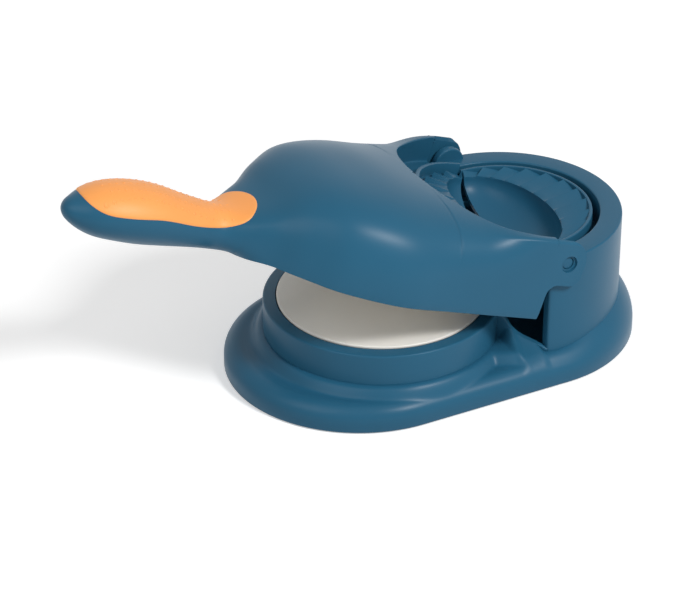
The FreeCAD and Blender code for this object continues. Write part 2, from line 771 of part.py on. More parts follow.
# Press arm
# The outside is one skin over sections square to X. A section's upper and lower halves are curves
# of the same kind throughout, so the round handle grows into the dome.
def half_section(x, half_width, waist, rise, squareness):
    # Two quarters in one curve, whose handles lengthen as the section gets squarer
    handle = (8 * 0.5 ** (1 / squareness) - 4) / 3
    poles = [
        Vector(x, half_width, waist),
        Vector(x, half_width, waist + handle * rise),
        Vector(x, handle * half_width, waist + rise),
        Vector(x, -handle * half_width, waist + rise),
        Vector(x, -half_width, waist + handle * rise),
        Vector(x, -half_width, waist),
    ]
    curve = Part.BSplineCurve()
    curve.buildFromPolesMultsKnots(poles, [4, 2, 4], [0, 0.5, 1], False, 3)
    return curve.toShape()


def section(x, half_width, waist, top, keel, squareness, keel_squareness):
    upper = half_section(x, half_width, waist, top - waist, squareness)
    lower = half_section(x, half_width, waist, keel - waist, keel_squareness)
    return Part.Wire([upper, lower])


def handle_sections(inset):
    length = size("handle_length")
    sections = []
    for place, width, thickness, drop in HANDLE_STATION_SHARES:
        half_width = width * size("handle_half_width") - inset
        half_thickness = thickness * size("handle_half_thickness") - inset
        if half_width <= inset / 2 or half_thickness <= inset / 2:
            continue
        x = place * length - size("handle_reach")
        waist = size("handle_height") + drop * size("handle_half_thickness")
        top = waist + half_thickness
        keel = waist - half_thickness
        sections.append(section(x, half_width, waist, top, keel, 2, 2))
    return sections


def dome_sections(inset, first=0):
    length = size("arm_reach") + size("arm_rear")
    height = size("arm_crest") - size("arm_floor")
    sections = []
    for place, width, top_share, squareness in DOME_STATION_SHARES[first:]:
        x = place * length - size("arm_reach")
        half_width = width * size("arm_half_width") - inset
        top = size("arm_floor") + top_share * height - inset
        waist = size("arm_floor") + DOME_WAIST_SHARE * height
        keel = waist - DOME_KEEL_SHARE * height
        if place < 0:
            waist = (waist + size("handle_height")) / 2 - inset / 2
            keel = (size("arm_floor") + size("handle_height")) / 2
            keel -= NECK_KEEL_SHARE * size("handle_half_thickness")
        sections.append(section(x, half_width, waist, top, keel, squareness, KEEL_SQUARENESS))
    return sections


def arm_skin(inset):
    return Part.makeLoft(handle_sections(inset) + dome_sections(inset), True, False)


def under_cut():
    # Everything below the arm's lower edge, which dips to clear the round handle
    level = size("arm_floor")
    low = level - DOME_KEEL_SHARE * (size("arm_crest") - level) - size("overrun")
    rear = size("pivot_reach") + size("arm_half_width")
    front = -size("arm_reach") + size("overrun")
    neck = -size("arm_reach") - NECK_LENGTH_SHARE * size("handle_length")
    dips = [
        (front + place * (neck - front), level - dip * size("handle_half_thickness"))
        for place, dip in NECK_DIP_SHARES
    ]
    curve = side_curve([(front, level)] + dips)
    frame = side_path([dips[-1], (neck, low), (rear, low), (rear, level), (front, level)])
    return side_extrusion([curve] + frame, size("arm_half_width") + size("overrun"))


def rear_cut():
    # Everything behind the arm's sides and ears
    x = size("arm_rear")
    corner = size("ear_corner")
    under = size("ear_under")
    end = size("pivot_reach") + size("ear_reach")
    top = size("ear_top")
    radius = size("ear_radius")
    low = size("arm_floor") - size("arm_crest")
    high = size("arm_crest") + size("overrun")
    far = end + size("handle_reach")
    lean = math.sqrt(0.5)
    blend = Part.Arc(
        Vector(x, 0, under - corner),
        Vector(x + corner * (1 - lean), 0, under - corner * (1 - lean)),
        Vector(x + corner, 0, under),
    )
    lower = Part.Arc(
        Vector(end - corner, 0, under),
        Vector(end - corner * (1 - lean), 0, under + corner * (1 - lean)),
        Vector(end, 0, under + corner),
    )
    upper = Part.Arc(
        Vector(end, 0, top - radius),
        Vector(end - radius * (1 - lean), 0, top - radius * (1 - lean)),
        Vector(end - radius, 0, top),
    )
    edges = [blend.toShape(), lower.toShape(), upper.toShape()]
    edges += side_path([(x + corner, under), (end - corner, under)])
    edges += side_path([(end, under + corner), (end, top - radius)])
    edges += side_path([(end - radius, top), (end - radius, high), (far, high), (far, low)])
    edges += side_path([(far, low), (x, low), (x, under - corner)])
    return side_extrusion(edges, size("arm_half_width") + size("overrun"))


def dome_cavity():
    inner = Part.makeLoft(dome_sections(size("wall"), 1), True, False)
    low = size("arm_floor") - size("arm_crest")
    reach = size("ear_inner")
    rear = size("pivot_reach") + size("arm_half_width")
    return inner.common(stadium(reach, -size("arm_front"), rear, low, size("arm_crest")))


RECESS_FLOOR = size("pivot_height") - size("recess_drop")
RECESS_UNDER = RECESS_FLOOR - size("recess_floor")
RECESS_REAR = size("pivot_reach") - size("recess_rear")


def recess_tub():
    # Wall and floor of the recess, before it is hollowed
    outer = size("recess_radius") + size("wall")
    tub = cylinder(outer, RECESS_UNDER, size("arm_crest"), size("pivot_reach"))
    rear = box(RECESS_REAR, FOOT_REAR + outer, -outer, outer, RECESS_UNDER, size("arm_crest"))
    return tub.cut(rear)


def recess_cuts():
    x = size("pivot_reach")
    reach = size("recess_radius")
    high = size("arm_crest") + size("overrun")
    low = size("arm_floor") - size("arm_crest")
    return [
        cylinder(reach, RECESS_FLOOR, high, x),
        cylinder(size("recess_hole"), low, high, x),
        box(RECESS_REAR, x + reach, -size("ear_inner"), size("ear_inner"), low, high),
    ]


def carrier_screw_places():
    front = -size("carrier_screw_front")
    rear = size("carrier_screw_rear")
    front_side = size("carrier_screw_front_side")
    rear_side = size("carrier_screw_rear_side")
    return [(front, -front_side), (front, front_side), (rear, -rear_side), (rear, rear_side)]


CARRIER_LOW = UPPER_BACK + size("seat_gap") / 2
CARRIER_TOP = CARRIER_LOW + size("carrier_thickness")
TAB_TOP = size("pivot_height") - size("moving_flange_drop") + size("flange_thickness")


def arm_bosses():
    # Pillars from the dome's roof to the carrier, and from the recess floor to the mould's tabs
    radius = size("boss_radius")
    bosses = [
        cylinder(radius, CARRIER_TOP, size("arm_crest"), x, y) for x, y in carrier_screw_places()
    ]
    bosses += [cylinder(radius, TAB_TOP, RECESS_FLOOR, x, y) for x, y in moving_screw_places()]
    return bosses


def arm_screw_holes():
    radius = size("screw_radius")
    length = size("screw_length")
    holes = [
        cylinder(radius, CARRIER_TOP, CARRIER_LOW + length + size("overrun") / 2, x, y)
        for x, y in carrier_screw_places()
    ]
    depth = TAB_TOP - size("flange_thickness") + length
    holes += [cylinder(radius, TAB_TOP, depth, x, y) for x, y in moving_screw_places()]
    return holes


def pin_holes(half_width):
    x, z = HINGE.x, HINGE.z
    radius = size("pin_radius") + size("pin_clearance")
    outer = size("arm_half_width")
    recess = size("pin_recess_radius")
    depth = size("pin_recess_depth")
    return [
        cross_cylinder(radius, -half_width, half_width, x, z),
        cross_cylinder(recess, outer - depth, half_width, x, z),
        cross_cylinder(recess, -half_width, depth - outer, x, z),
    ]


def grip_zone():
    # Side view of the space above the soft inset's edge
    points = [
        (
            place * size("handle_length") - size("handle_reach"),
            size("grip_split") + lift * size("handle_half_thickness"),
        )
        for place, lift in GRIP_EDGE_SHARES
    ]
    high = size("arm_crest") + size("overrun")
    first, last = points[0], points[-1]
    frame = side_path([last, (last[0], high), (first[0], high), first])
    return side_extrusion([side_curve(points)] + frame, 2 * size("handle_half_width"))


def arm_shapes():
    skin = arm_skin(0)
    core = arm_skin(size("grip_thickness"))
    grip = skin.common(grip_zone()).cut(core)
    inside = skin.common(recess_tub())
    shell = skin.cut(dome_cavity()).fuse(inside)
    shell = shell.cut(recess_cuts())
    bosses = [skin.common(boss) for boss in arm_bosses()]
    shell = shell.fuse(bosses)
    cuts = [under_cut(), rear_cut(), grip] + arm_screw_holes()
    cuts += pin_holes(size("arm_half_width") + size("overrun"))
    return shell.cut(cuts), grip


arm_shape, grip_shape = arm_shapes()
swing(shaped("press_arm_shell", arm_shape))
swing(shaped("handle_grip", grip_shape))


# Carrier of the upper disc
def carrier_shape():
    # A plate under the dome with a raised ring, whose groove holds the ring of the upper disc
    radius = size("carrier_radius")
    gap = size("seat_gap")
    wall = size("wall")
    plate = stadium(radius, -size("arm_front"), size("carrier_rear"), CARRIER_LOW, CARRIER_TOP)
    behind = size("pivot_reach") + radius
    rear = box(size("carrier_rear"), behind, -radius, radius, CARRIER_LOW, CARRIER_TOP)
    groove_outer = size("plate_spigot") + gap
    groove_inner = size("plate_spigot") - wall - gap
    groove_top = UPPER_BACK + size("plate_spigot_depth") + gap
    plate = plate.cut([rear, cylinder(groove_outer, CARRIER_LOW, CARRIER_TOP)])
    hub = revolved([
        (0, CARRIER_LOW),
        (groove_inner, CARRIER_LOW),
        (groove_inner, groove_top),
        (groove_outer, groove_top),
        (groove_outer, CARRIER_LOW),
        (groove_outer + wall, CARRIER_LOW),
        (groove_outer + wall, groove_top + wall),
        (groove_inner - wall, groove_top + wall),
        (groove_inner - wall, CARRIER_TOP),
        (0, CARRIER_TOP),
    ])
    head_top = CARRIER_LOW + size("screw_head_height")
    cuts = []
    for x, y in carrier_screw_places():
        cuts.append(cylinder(size("screw_head_radius") + gap, CARRIER_LOW, head_top, x, y))
        cuts.append(cylinder(size("screw_radius") + gap, CARRIER_LOW, CARRIER_TOP, x, y))
    return plate.fuse(hub).cut(cuts).removeSplitter()


swing(shaped("plate_carrier", carrier_shape()))


# Mould halves
# Each half is a bowl cut off at the hinge axis, with a rim of pleat teeth and a ring round it.
# Drawn about the hinge axis, the fixed half towards +X and the moving half towards -X.
TOOTH_DROP = (size("tooth_height") + size("mould_gap")) / 2


def ellipsoid(reach, half_length, depth):
    ball = Part.makeSphere(1)
    matrix = Matrix()
    matrix.scale(reach, half_length, depth)
    return ball.transformGeometry(matrix)


def tooth(number, direction, climbs):
    # A wedge that climbs with the angle, or falls, so that the two halves mesh when folded
    pitch = 180 / size("tooth_count")
    start = math.radians(-90 + number * pitch + size("tooth_play"))
    end = math.radians(-90 + (number + 1) * pitch - size("tooth_play"))
    peak = end if climbs else start
    wires = []
    for radius, share in ((size("tooth_inner"), TOOTH_INNER_SHARE), (size("tooth_outer"), 1)):
        low = -TOOTH_DROP - size("land_thickness") / 2
        high = -TOOTH_DROP + share * size("tooth_height")
        foot_points = [
            Vector(direction * radius * math.cos(angle), radius * math.sin(angle), low)
            for angle in (start, end)
        ]
        flat = Vector(
            direction * radius * math.cos(start + end - peak),
            radius * math.sin(start + end - peak),
            -TOOTH_DROP,
        )
        tip = Vector(direction * radius * math.cos(peak), radius * math.sin(peak), high)
        if climbs:
            corners = [foot_points[0], foot_points[1], tip, flat]
        else:
            corners = [foot_points[0], foot_points[1], flat, tip]
        wires.append(closed_wire(corners))
    return Part.makeLoft(wires, True, True)


def mould_half(direction, ring_radius, ring_bore, ring_height, climbs):
    wall = size("bowl_wall")
    land_low = -TOOTH_DROP - size("land_thickness")
    bowl = (size("bowl_reach"), size("bowl_half_length"), size("bowl_depth"))
    outer = ellipsoid(*[value + wall for value in bowl])
    inner = ellipsoid(*bowl)
    upper = cylinder(2 * ring_radius, -TOOTH_DROP, 2 * ring_radius)
    half = cylinder(ring_radius, land_low, -TOOTH_DROP).fuse(outer.cut(upper))
    ring = cylinder(ring_radius, land_low, ring_height).cut(cylinder(ring_bore, land_low, ring_height))
    teeth = [tooth(n, direction, climbs) for n in range(int(size("tooth_count")))]
    half = half.fuse([ring] + teeth).cut(inner)
    return half


def half_space(direction, reach):
    near = size("mould_gap") / 2
    if direction > 0:
        return box(near, reach, -reach, reach, -reach, reach)
    return box(-reach, -near, -reach, reach, -reach, reach)


def fixed_half_shape():
    radius = size("fixed_ring_radius")
    half = mould_half(1, radius, size("fixed_ring_bore"), size("fixed_ring_height"), False)
    # A skirt carries the rim down to a flange on the housing's shelf
    land_low = -TOOTH_DROP - size("land_thickness")
    flange_low = -size("shelf_drop")
    flange_top = flange_low + size("flange_thickness")
    skirt = cylinder(radius, flange_low, land_low)
    skirt = skirt.cut(cylinder(size("fixed_ring_bore") - size("wall"), flange_low, land_low))
    shelf_inner = size("housing_bore") - size("shelf_width")
    flange = cylinder(size("housing_bore") - size("seat_gap"), flange_low, flange_top)
    flange = flange.cut(cylinder(shelf_inner, flange_low, flange_top))
    boss_top = flange_low + size("screw_length")
    boss = [
        cylinder(size("boss_radius"), flange_low, boss_top, x - HINGE.x, y)
        for x, y in fixed_screw_places()
    ]
    holes = [
        cylinder(size("screw_radius"), flange_low, boss_top - size("wall") / 2, x - HINGE.x, y)
        for x, y in fixed_screw_places()
    ]
    half = half.fuse([skirt, flange] + boss).cut(holes)
    return half.common(half_space(1, 2 * radius))


def moving_half_shape():
    radius = size("moving_ring_radius")
    half = mould_half(-1, radius, size("moving_ring_bore"), size("moving_ring_height"), True)
    # A skirt ends in tabs that are screwed up to the recess floor's bosses
    land_low = -TOOTH_DROP - size("land_thickness")
    tab_low = -size("moving_flange_drop")
    tab_top = tab_low + size("flange_thickness")
    bore = size("moving_ring_bore") - size("wall") / 2
    skirt = cylinder(radius, tab_low, land_low).cut(cylinder(bore, tab_low, land_low))
    reach = size("boss_radius")
    tabs = []
    holes = []
    for x, y in moving_screw_places():
        local_x = x - HINGE.x
        outward = math.degrees(math.atan2(y, local_x))
        link = box(bore, size("moving_screw_circle"), -reach, reach, tab_low, tab_top)
        link.rotate(Vector(0, 0, 0), UP, outward)
        tabs += [link, cylinder(reach, tab_low, tab_top, local_x, y)]
        hole = size("screw_radius") + size("seat_gap")
        holes.append(cylinder(hole, tab_low, tab_top, local_x, y))
    half = half.fuse([skirt] + tabs).cut(holes)
    return half.common(half_space(-1, 2 * radius))


stand(shaped("fixed_mould_half", fixed_half_shape()), HINGE)
swing(shaped("moving_mould_half", moving_half_shape()), HINGE)


# Screws, drawn with the head down and the thread up
def screw_group(label, places, head_low):
    head_top = head_low + size("screw_head_height")
    screws = []
    for x, y in places:
        head = cylinder(size("screw_head_radius"), head_low, head_top, x, y)
        thread = cylinder(size("screw_radius"), head_top, head_top + size("screw_length"), x, y)
        screws.append(head.fuse(thread).removeSplitter())
    return shaped(label, Part.makeCompound(screws))


HEAD = size("screw_head_height")
stand(screw_group("base_cover_screws", cover_screw_places(), COVER_LOW))
swing(screw_group("plate_carrier_screws", carrier_screw_places(), CARRIER_LOW))
stand(screw_group("lower_plate_screws", lower_screw_places(), DISH_WELL - size("wall") - HEAD))
shelf_under = SHELF - size("shelf_thickness")
stand(screw_group("fixed_mould_screws", fixed_screw_places(), shelf_under - HEAD))
tab_under = TAB_TOP - size("flange_thickness")
swing(screw_group("moving_mould_screws", moving_screw_places(), tab_under - HEAD))
doc.recompute()


# Checks and files
def problems():
    found = []
    for item in doc.Objects:
        if "Invalid" in item.State or "Error" in item.State:
            found.append("%s failed" % item.Label)
    for piece in PIECES:
        if piece.Shape.isNull() or not piece.Shape.isValid():
            found.append("%s has no valid shape" % piece.Label)
    return found


os.makedirs("parts", exist_ok=True)
for piece in PIECES:
    print("%s: %d solid(s), %.0f mm3" % (piece.Label, len(piece.Shape.Solids), piece.Shape.Volume))
faults = problems()
if faults:
    raise RuntimeError("; ".join(faults))
for piece in PIECES:
    piece.Shape.exportStep(os.path.join("parts", piece.Label + ".step"))
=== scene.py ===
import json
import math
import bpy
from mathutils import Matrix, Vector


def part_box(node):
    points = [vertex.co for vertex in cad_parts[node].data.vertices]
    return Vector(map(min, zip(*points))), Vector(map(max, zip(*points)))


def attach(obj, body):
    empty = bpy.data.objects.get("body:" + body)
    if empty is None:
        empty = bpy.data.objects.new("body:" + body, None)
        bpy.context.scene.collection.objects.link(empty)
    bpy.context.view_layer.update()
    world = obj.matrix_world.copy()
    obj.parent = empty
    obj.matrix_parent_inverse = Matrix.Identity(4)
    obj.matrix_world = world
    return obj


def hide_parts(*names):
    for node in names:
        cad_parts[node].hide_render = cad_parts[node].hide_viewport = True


bl_info = {
    "name": "Dumpling maker",
    "version": (1, 0, 0),
    "blender": (4, 5, 0),
    "location": "View3D > Sidebar > Dumpling maker",
    "description": "Builds the look of a hinged dumpling maker round its packed CAD frame",
    "category": "Add Mesh",
}

from types import SimpleNamespace

import bmesh
import bpy
import numpy as np
from mathutils import Vector

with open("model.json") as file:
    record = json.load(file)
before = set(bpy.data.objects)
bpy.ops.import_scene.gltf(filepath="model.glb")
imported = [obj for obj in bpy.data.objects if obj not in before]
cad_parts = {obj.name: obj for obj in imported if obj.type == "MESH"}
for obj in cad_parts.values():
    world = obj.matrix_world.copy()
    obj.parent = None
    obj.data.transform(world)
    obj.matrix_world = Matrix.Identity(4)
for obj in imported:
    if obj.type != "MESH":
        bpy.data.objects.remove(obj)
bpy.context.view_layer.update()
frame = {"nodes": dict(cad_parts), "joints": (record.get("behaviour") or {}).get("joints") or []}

# Millimetres are used for the pieces, because they are small. Every piece is worked out with the arm
# closed, X counted from the axis of the press discs and heights from the table.
MM = 0.001
HINGE_JOINT = frame["joints"][0]
HINGE = Vector(HINGE_JOINT["pos_m"])
OPEN_ANGLE = math.radians(-HINGE_JOINT["range_deg"][0])


def node_middle(node):
    """Middle of a CAD node's box, in metres."""
    low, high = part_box(node)
    return (low + high) / 2


def node_sizes(node):
    """Sizes of a CAD node's box, in millimetres."""
    low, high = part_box(node)
    return (high - low) / MM


PRESS_X = node_middle("lower_press_plate").x
PIVOT_REACH = (HINGE.x - PRESS_X) / MM
PIVOT_HEIGHT = HINGE.z / MM
# Edges that bend by more degrees than this stay sharp, and points closer than this are joined
SHARP_ANGLE = 38
WELD = 0.02


# Helpers for shapes
def smoothstep(value):
    """Eases from 0 to 1, level at both ends."""
    value = np.clip(value, 0, 1)
    return value * value * (3 - 2 * value)


def eased(value, start, end):
    """Eases from 0 at one value to 1 at another."""
    return smoothstep((value - start) / (end - start))


def smooth_curve(places, values, wanted):
    """A natural cubic spline through the values, read at the wanted places."""
    places = np.asarray(places, float)
    values = np.asarray(values, float)
    count = len(places)
    gaps = np.diff(places)
    matrix = np.eye(count)
    right = np.zeros(count)
    for n in range(1, count - 1):
        matrix[n, n - 1:n + 2] = (gaps[n - 1], 2 * (gaps[n - 1] + gaps[n]), gaps[n])
        rise = (values[n + 1] - values[n]) / gaps[n]
        right[n] = 6 * (rise - (values[n] - values[n - 1]) / gaps[n - 1])
    bend = np.linalg.solve(matrix, right)
    wanted = np.asarray(wanted, float)
    n = np.clip(np.searchsorted(places, wanted) - 1, 0, count - 2)
    gap = gaps[n]
    ahead = (places[n + 1] - wanted) / gap
    behind = 1 - ahead
    line = ahead * values[n] + behind * values[n + 1]
    return line + gap**2 / 6 * ((ahead**3 - ahead) * bend[n] + (behind**3 - behind) * bend[n + 1])


def bent(start, corner, end, shares):
    """Points on a corner's rounding."""
    start, corner, end = (np.array(point, float) for point in (start, corner, end))
    return [(1 - s)**2 * start + 2 * s * (1 - s) * corner + s**2 * end for s in shares]


def softened(corners, steps=5):
    """Points of an open outline whose corners (across, up, rounding) are rounded."""
    points = []
    for n, (across, up, rounding) in enumerate(corners):
        here = np.array((across, up), float)
        if rounding == 0 or n in (0, len(corners) - 1):
            points.append(here)
            continue
        before = np.array(corners[n - 1][:2]) - here
        after = np.array(corners[n + 1][:2]) - here
        before /= np.linalg.norm(before)
        after /= np.linalg.norm(after)
        half = math.acos(np.clip(before @ after, -1, 1)) / 2
        reach = rounding / math.tan(half)
        points += bent(here + before * reach, here, here + after * reach, np.arange(steps + 1) / steps)
    return np.array(points)


def arc(centre, radius, first, last, count):
    """Points of an arc between two angles in degrees."""
    angles = np.radians(np.linspace(first, last, count))
    return [(centre[0] + radius * math.cos(a), centre[1] + radius * math.sin(a)) for a in angles]


def spread_points(points, count):
    """The same open line with evenly spread points."""
    points = np.asarray(points, float)
    steps = np.concatenate([[0], np.cumsum(np.linalg.norm(np.diff(points, axis=0), axis=1))])
    wanted = np.linspace(0, steps[-1], count)
    return np.column_stack([np.interp(wanted, steps, points[:, n]) for n in range(points.shape[1])])


def level_row(plan, height):
    """Points in plan, lifted to one height."""
    return np.column_stack([plan, np.full(len(plan), height)])


def grid_faces(rows, columns, wrap=False):
    """Faces of a grid whose vertices are stored row after row."""
    faces = []
    for row in range(rows - 1):
        for column in range(columns if wrap else columns - 1):
            follow = (column + 1) % columns
            faces.append((
                row * columns + column,
                row * columns + follow,
                (row + 1) * columns + follow,
                (row + 1) * columns + column,
            ))
    return faces


def lathe(profile, x=0, y=0, segments=128, start=0, sweep=360):
    """A profile of (radius, height) points turned about a vertical axis, as (vertices, faces)."""
    whole = sweep == 360
    count = segments if whole else segments + 1
    angles = np.radians(start + sweep * np.arange(count) / segments)
    rows = [
        np.column_stack([x + radius * np.cos(angles), y + radius * np.sin(angles), np.full(count, height)])
        for radius, height in profile
    ]
    return np.vstack(rows), grid_faces(len(profile), count, whole)


def grid_part(rows, wrap=False):
    """Rows of points, all of one length, as (vertices, faces)."""
    rows = [np.asarray(row, float) for row in rows]
    return np.vstack(rows), grid_faces(len(rows), len(rows[0]), wrap)


def mirrored(part):
    """The part's mirror image on the other side of the middle plane."""
    points, faces = part
    return points * (1, -1, 1), [tuple(reversed(face)) for face in faces]


def lying(part, x, z, side):
    """A part that was turned about the vertical, laid with its axis along Y and moved to the hinge."""
    points, faces = part
    moved = np.column_stack([points[:, 0] + x, side * points[:, 2], -side * points[:, 1] + z])
    return moved, faces


def on_base(points):
    """Row frame places, in metres, of points counted from the press axis in millimetres."""
    return points * MM + (PRESS_X, 0, 0)


def off_base(points):
    """Points in millimetres from the press axis, of row frame places."""
    return (points - (PRESS_X, 0, 0)) / MM


def about_hinge(points, angle):
    """Points in millimetres, turned about the hinge so that the handle rises by an angle."""
    run = points[:, 0] - PIVOT_REACH
    rise = points[:, 2] - PIVOT_HEIGHT
    cosine, sine = math.cos(angle), math.sin(angle)
    return np.column_stack([
        run * cosine + rise * sine + PIVOT_REACH,
        points[:, 1],
        rise * cosine - run * sine + PIVOT_HEIGHT,
    ])


def on_arm(points):
    """Row frame places of points of the closed arm, which stands open at rest."""
    return on_base(about_hinge(points, OPEN_ANGLE))


def off_arm(points):
    """Points of the closed arm, of row frame places on the arm at rest."""
    return about_hinge(off_base(points), -OPEN_ANGLE)


def post(x, y, radius, low, high, rounding=0.3):
    """A round post with slightly rounded ends."""
    profile = softened([
        (0, low, 0), (radius, low, rounding), (radius, high, rounding), (0, high, 0),
    ], 3)
    return lathe(profile, x, y, 40)


def prism(outline, low, high):
    """A plate with an outline in plan, as (vertices, faces)."""
    outline = np.asarray(outline, float)
    count = len(outline)
    faces = grid_faces(2, count, True)
    faces.append(tuple(reversed(range(count))))
    faces.append(tuple(range(count, 2 * count)))
    return np.vstack([level_row(outline, low), level_row(outline, high)]), faces


def make_piece(name, parts, places, material, sharp_angle=SHARP_ANGLE, weld=WELD):
    """One mesh object from parts, with close points welded and the faces turned outwards."""
    mesh = bmesh.new()
    for points, faces in parts:
        corners = [mesh.verts.new(point) for point in places(np.asarray(points, float))]
        for face in faces:
            # Blender refuses a face that is there already
            try:
                mesh.faces.new([corners[n] for n in face])
            except ValueError:
                continue
    bmesh.ops.remove_doubles(mesh, verts=mesh.verts, dist=weld * MM)
    bmesh.ops.dissolve_degenerate(mesh, edges=mesh.edges, dist=weld * MM / 10)
    bmesh.ops.recalc_face_normals(mesh, faces=mesh.faces)
    data = bpy.data.meshes.new(name)
    mesh.to_mesh(data)
    mesh.free()
    data.shade_smooth()
    data.set_sharp_from_angle(angle=math.radians(sharp_angle))
    piece = bpy.data.objects.new(name, data)
    bpy.context.scene.collection.objects.link(piece)
    piece.data.materials.append(material)
    return piece


def carve(piece, cutter, sharp_angle=SHARP_ANGLE):
    """Cuts the cutter out of the piece, with what its modifiers make of it, and deletes the cutter."""
    modifier = piece.modifiers.new("cut", "BOOLEAN")
    modifier.operation = "DIFFERENCE"
    modifier.solver = "EXACT"
    modifier.object = cutter
    bpy.context.view_layer.update()
    evaluated = piece.evaluated_get(bpy.context.evaluated_depsgraph_get())
    carved = bpy.data.meshes.new_from_object(evaluated)
    piece.modifiers.clear()
    old = piece.data
    piece.data = carved
    bpy.data.meshes.remove(old)
    carved.name = piece.name
    carved.shade_smooth()
    carved.set_sharp_from_angle(angle=math.radians(sharp_angle))
    bpy.data.objects.remove(cutter)
    return piece


def dress(piece, body, slot, *nodes):
    """Ties a piece to its CAD body and hides the nodes that it stands for; the slot is not used."""
    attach(piece, body)
    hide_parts(*nodes)


def add_piece(name, parts, body, slot, node, finish_name="body plastic",
              sharp_angle=SHARP_ANGLE, weld=WELD):
    """A piece on a body, which stands for one CAD node."""
    places = on_base if body == "base" else on_arm
    piece = make_piece(name, parts, places, finish(finish_name), sharp_angle, weld)
    dress(piece, body, slot, node)
    return piece


def millimetres(group):
    """The lengths of a property group, in millimetres, by name."""
    values = {}
    for key, item in group.bl_rna.properties.items():
        if getattr(item, "unit", "") == "LENGTH":
            values[key] = getattr(group, key) / MM
    return SimpleNamespace(**values)


# Sizes and colours that can be changed
def number(name, description, value, **kind):
    """A number property."""
    return bpy.props.FloatProperty(name=name, description=description, default=value, **kind)


def length(name, description, value):
    """A length property, in metres."""
    return number(name, description, value, min=0, precision=5, unit="LENGTH")


def colour(name, description, value):
    """A colour property."""
    return bpy.props.FloatVectorProperty(
        name=name, description=description, default=value, size=3, min=0, max=1, subtype="COLOR",
    )


class BaseSizes(bpy.types.PropertyGroup):
    """Sizes of the base"""

    foot_radius: length("Foot half width", "Half width of the foot", 0.0583)
    foot_front: length("Foot front", "Press axis to the centre of the foot's front arc", 0.0108)
    foot_height: length("Foot height", "Top of the foot's crest", 0.0122)
    foot_edge: length("Foot edge", "Height of the foot's upright edge", 0.005)
    foot_rounding: length("Foot rounding", "Rounding of the foot's upper edge", 0.008)
    dish_radius: length("Dish ring", "Outside of the ring round the lower disc", 0.0509)
    dish_height: length("Dish ring height", "Top edge of the dish ring", 0.0303)
    housing_radius: length("Housing", "Outside of the mould housing", 0.0513)
    housing_bore: length("Housing bore", "Inside of the mould housing", 0.0416)
    housing_front: length("Housing front", "Hinge axis to the housing's open front", 0.0072)
    flare_height: length("Flare height", "Height of the flare behind the housing", 0.0205)
    edge_rounding: length("Edge rounding", "Small rounding of moulded edges", 0.0008)


class ArmSizes(bpy.types.PropertyGroup):
    """Sizes of the press arm, its handle and its pins"""

    half_width: length("Arm half width", "Half width of the arm at the hinge", 0.0544)
    floor: length("Arm lower edge", "Height of the closed arm's lower edge", 0.030)
    crest: length("Arm crest", "Highest point of the closed arm's dome", 0.069)
    reach: length("Dome reach", "Press axis to the front of the dome", 0.0626)
    rear: length("Dome rear", "Press axis to the rear edge of the arm's sides", 0.0535)
    wall: length("Arm wall", "Thickness of the arm's wall", 0.0026)
    handle_reach: length("Handle reach", "Press axis to the handle's tip", 0.1494)
    handle_half_width: length("Handle half width", "Widest part of the handle", 0.0152)
    handle_half_thickness: length("Handle half thickness", "Thickest part of the handle", 0.0122)
    handle_height: length("Handle height", "Middle of the closed handle", 0.038)
    recess_radius: length("Recess", "Recess round the moving mould half", 0.0518)
    recess_hole: length("Recess hole", "Hole in the recess floor", 0.043)
    lip_rounding: length("Lip rounding", "Rounded lip of the recess", 0.0008)
    pin_recess: length("Pin recess", "Round recess over a pin's end", 0.0038)
    pin_recess_depth: length("Pin recess depth", "Depth of that recess", 0.0011)
    pin_radius: length("Hinge pin", "Radius of a hinge pin", 0.00265)


class MouldSizes(bpy.types.PropertyGroup):
    """Sizes of the mould halves"""

    bowl_reach: length("Bowl reach", "Reach of a bowl from the hinge axis", 0.0205)
    bowl_half_length: length("Bowl half length", "Half length of a bowl", 0.0345)
    bowl_depth: length("Bowl depth", "Depth of a bowl", 0.015)
    bowl_wall: length("Bowl wall", "Wall of a bowl", 0.0018)
    tooth_height: length("Pleat height", "Height of a pleat tooth", 0.0026)
    fixed_bore: length("Fixed ring bore", "Inside of the ring of the fixed half", 0.0368)
    fixed_ring: length("Fixed ring", "Outside of the ring of the fixed half", 0.0383)
    fixed_rise: length("Fixed ring rise", "Top of that ring over the hinge axis", 0.0012)
    moving_bore: length("Moving ring bore", "Inside of the ring of the moving half", 0.0391)
    moving_ring: length("Moving ring", "Outside of the ring of the moving half", 0.041)
    moving_rise: length("Moving ring rise", "Top of that ring over the hinge axis", 0.0034)
    land_thickness: length("Land thickness", "Rim that carries the pleat teeth", 0.003)


class FinishColours(bpy.types.PropertyGroup):
    """Colours of the finishes"""

    blue: colour("Body plastic", "Satin plastic of the base, the arm and the mould", (0.018, 0.103, 0.182))
    cream: colour("Disc plastic", "Pale plastic of the press discs", (0.86, 0.83, 0.77))
    orange: colour("Grip", "Soft inset on the handle", (0.93, 0.36, 0.085))
    rubber: colour("Feet", "Rubber of the feet", (0.03, 0.03, 0.032))
    steel: colour("Screws", "Zinc plated screws", (0.55, 0.56, 0.58))


# Materials
NOISE_RANGE = (0.3, 0.7)


def add_node(nodes, kind, values=()):
    """A new shader node with values for some of its inputs."""
    node = nodes.new("ShaderNode" + kind)
    for socket, value in dict(values).items():
        node.inputs[socket].default_value = value
    return node


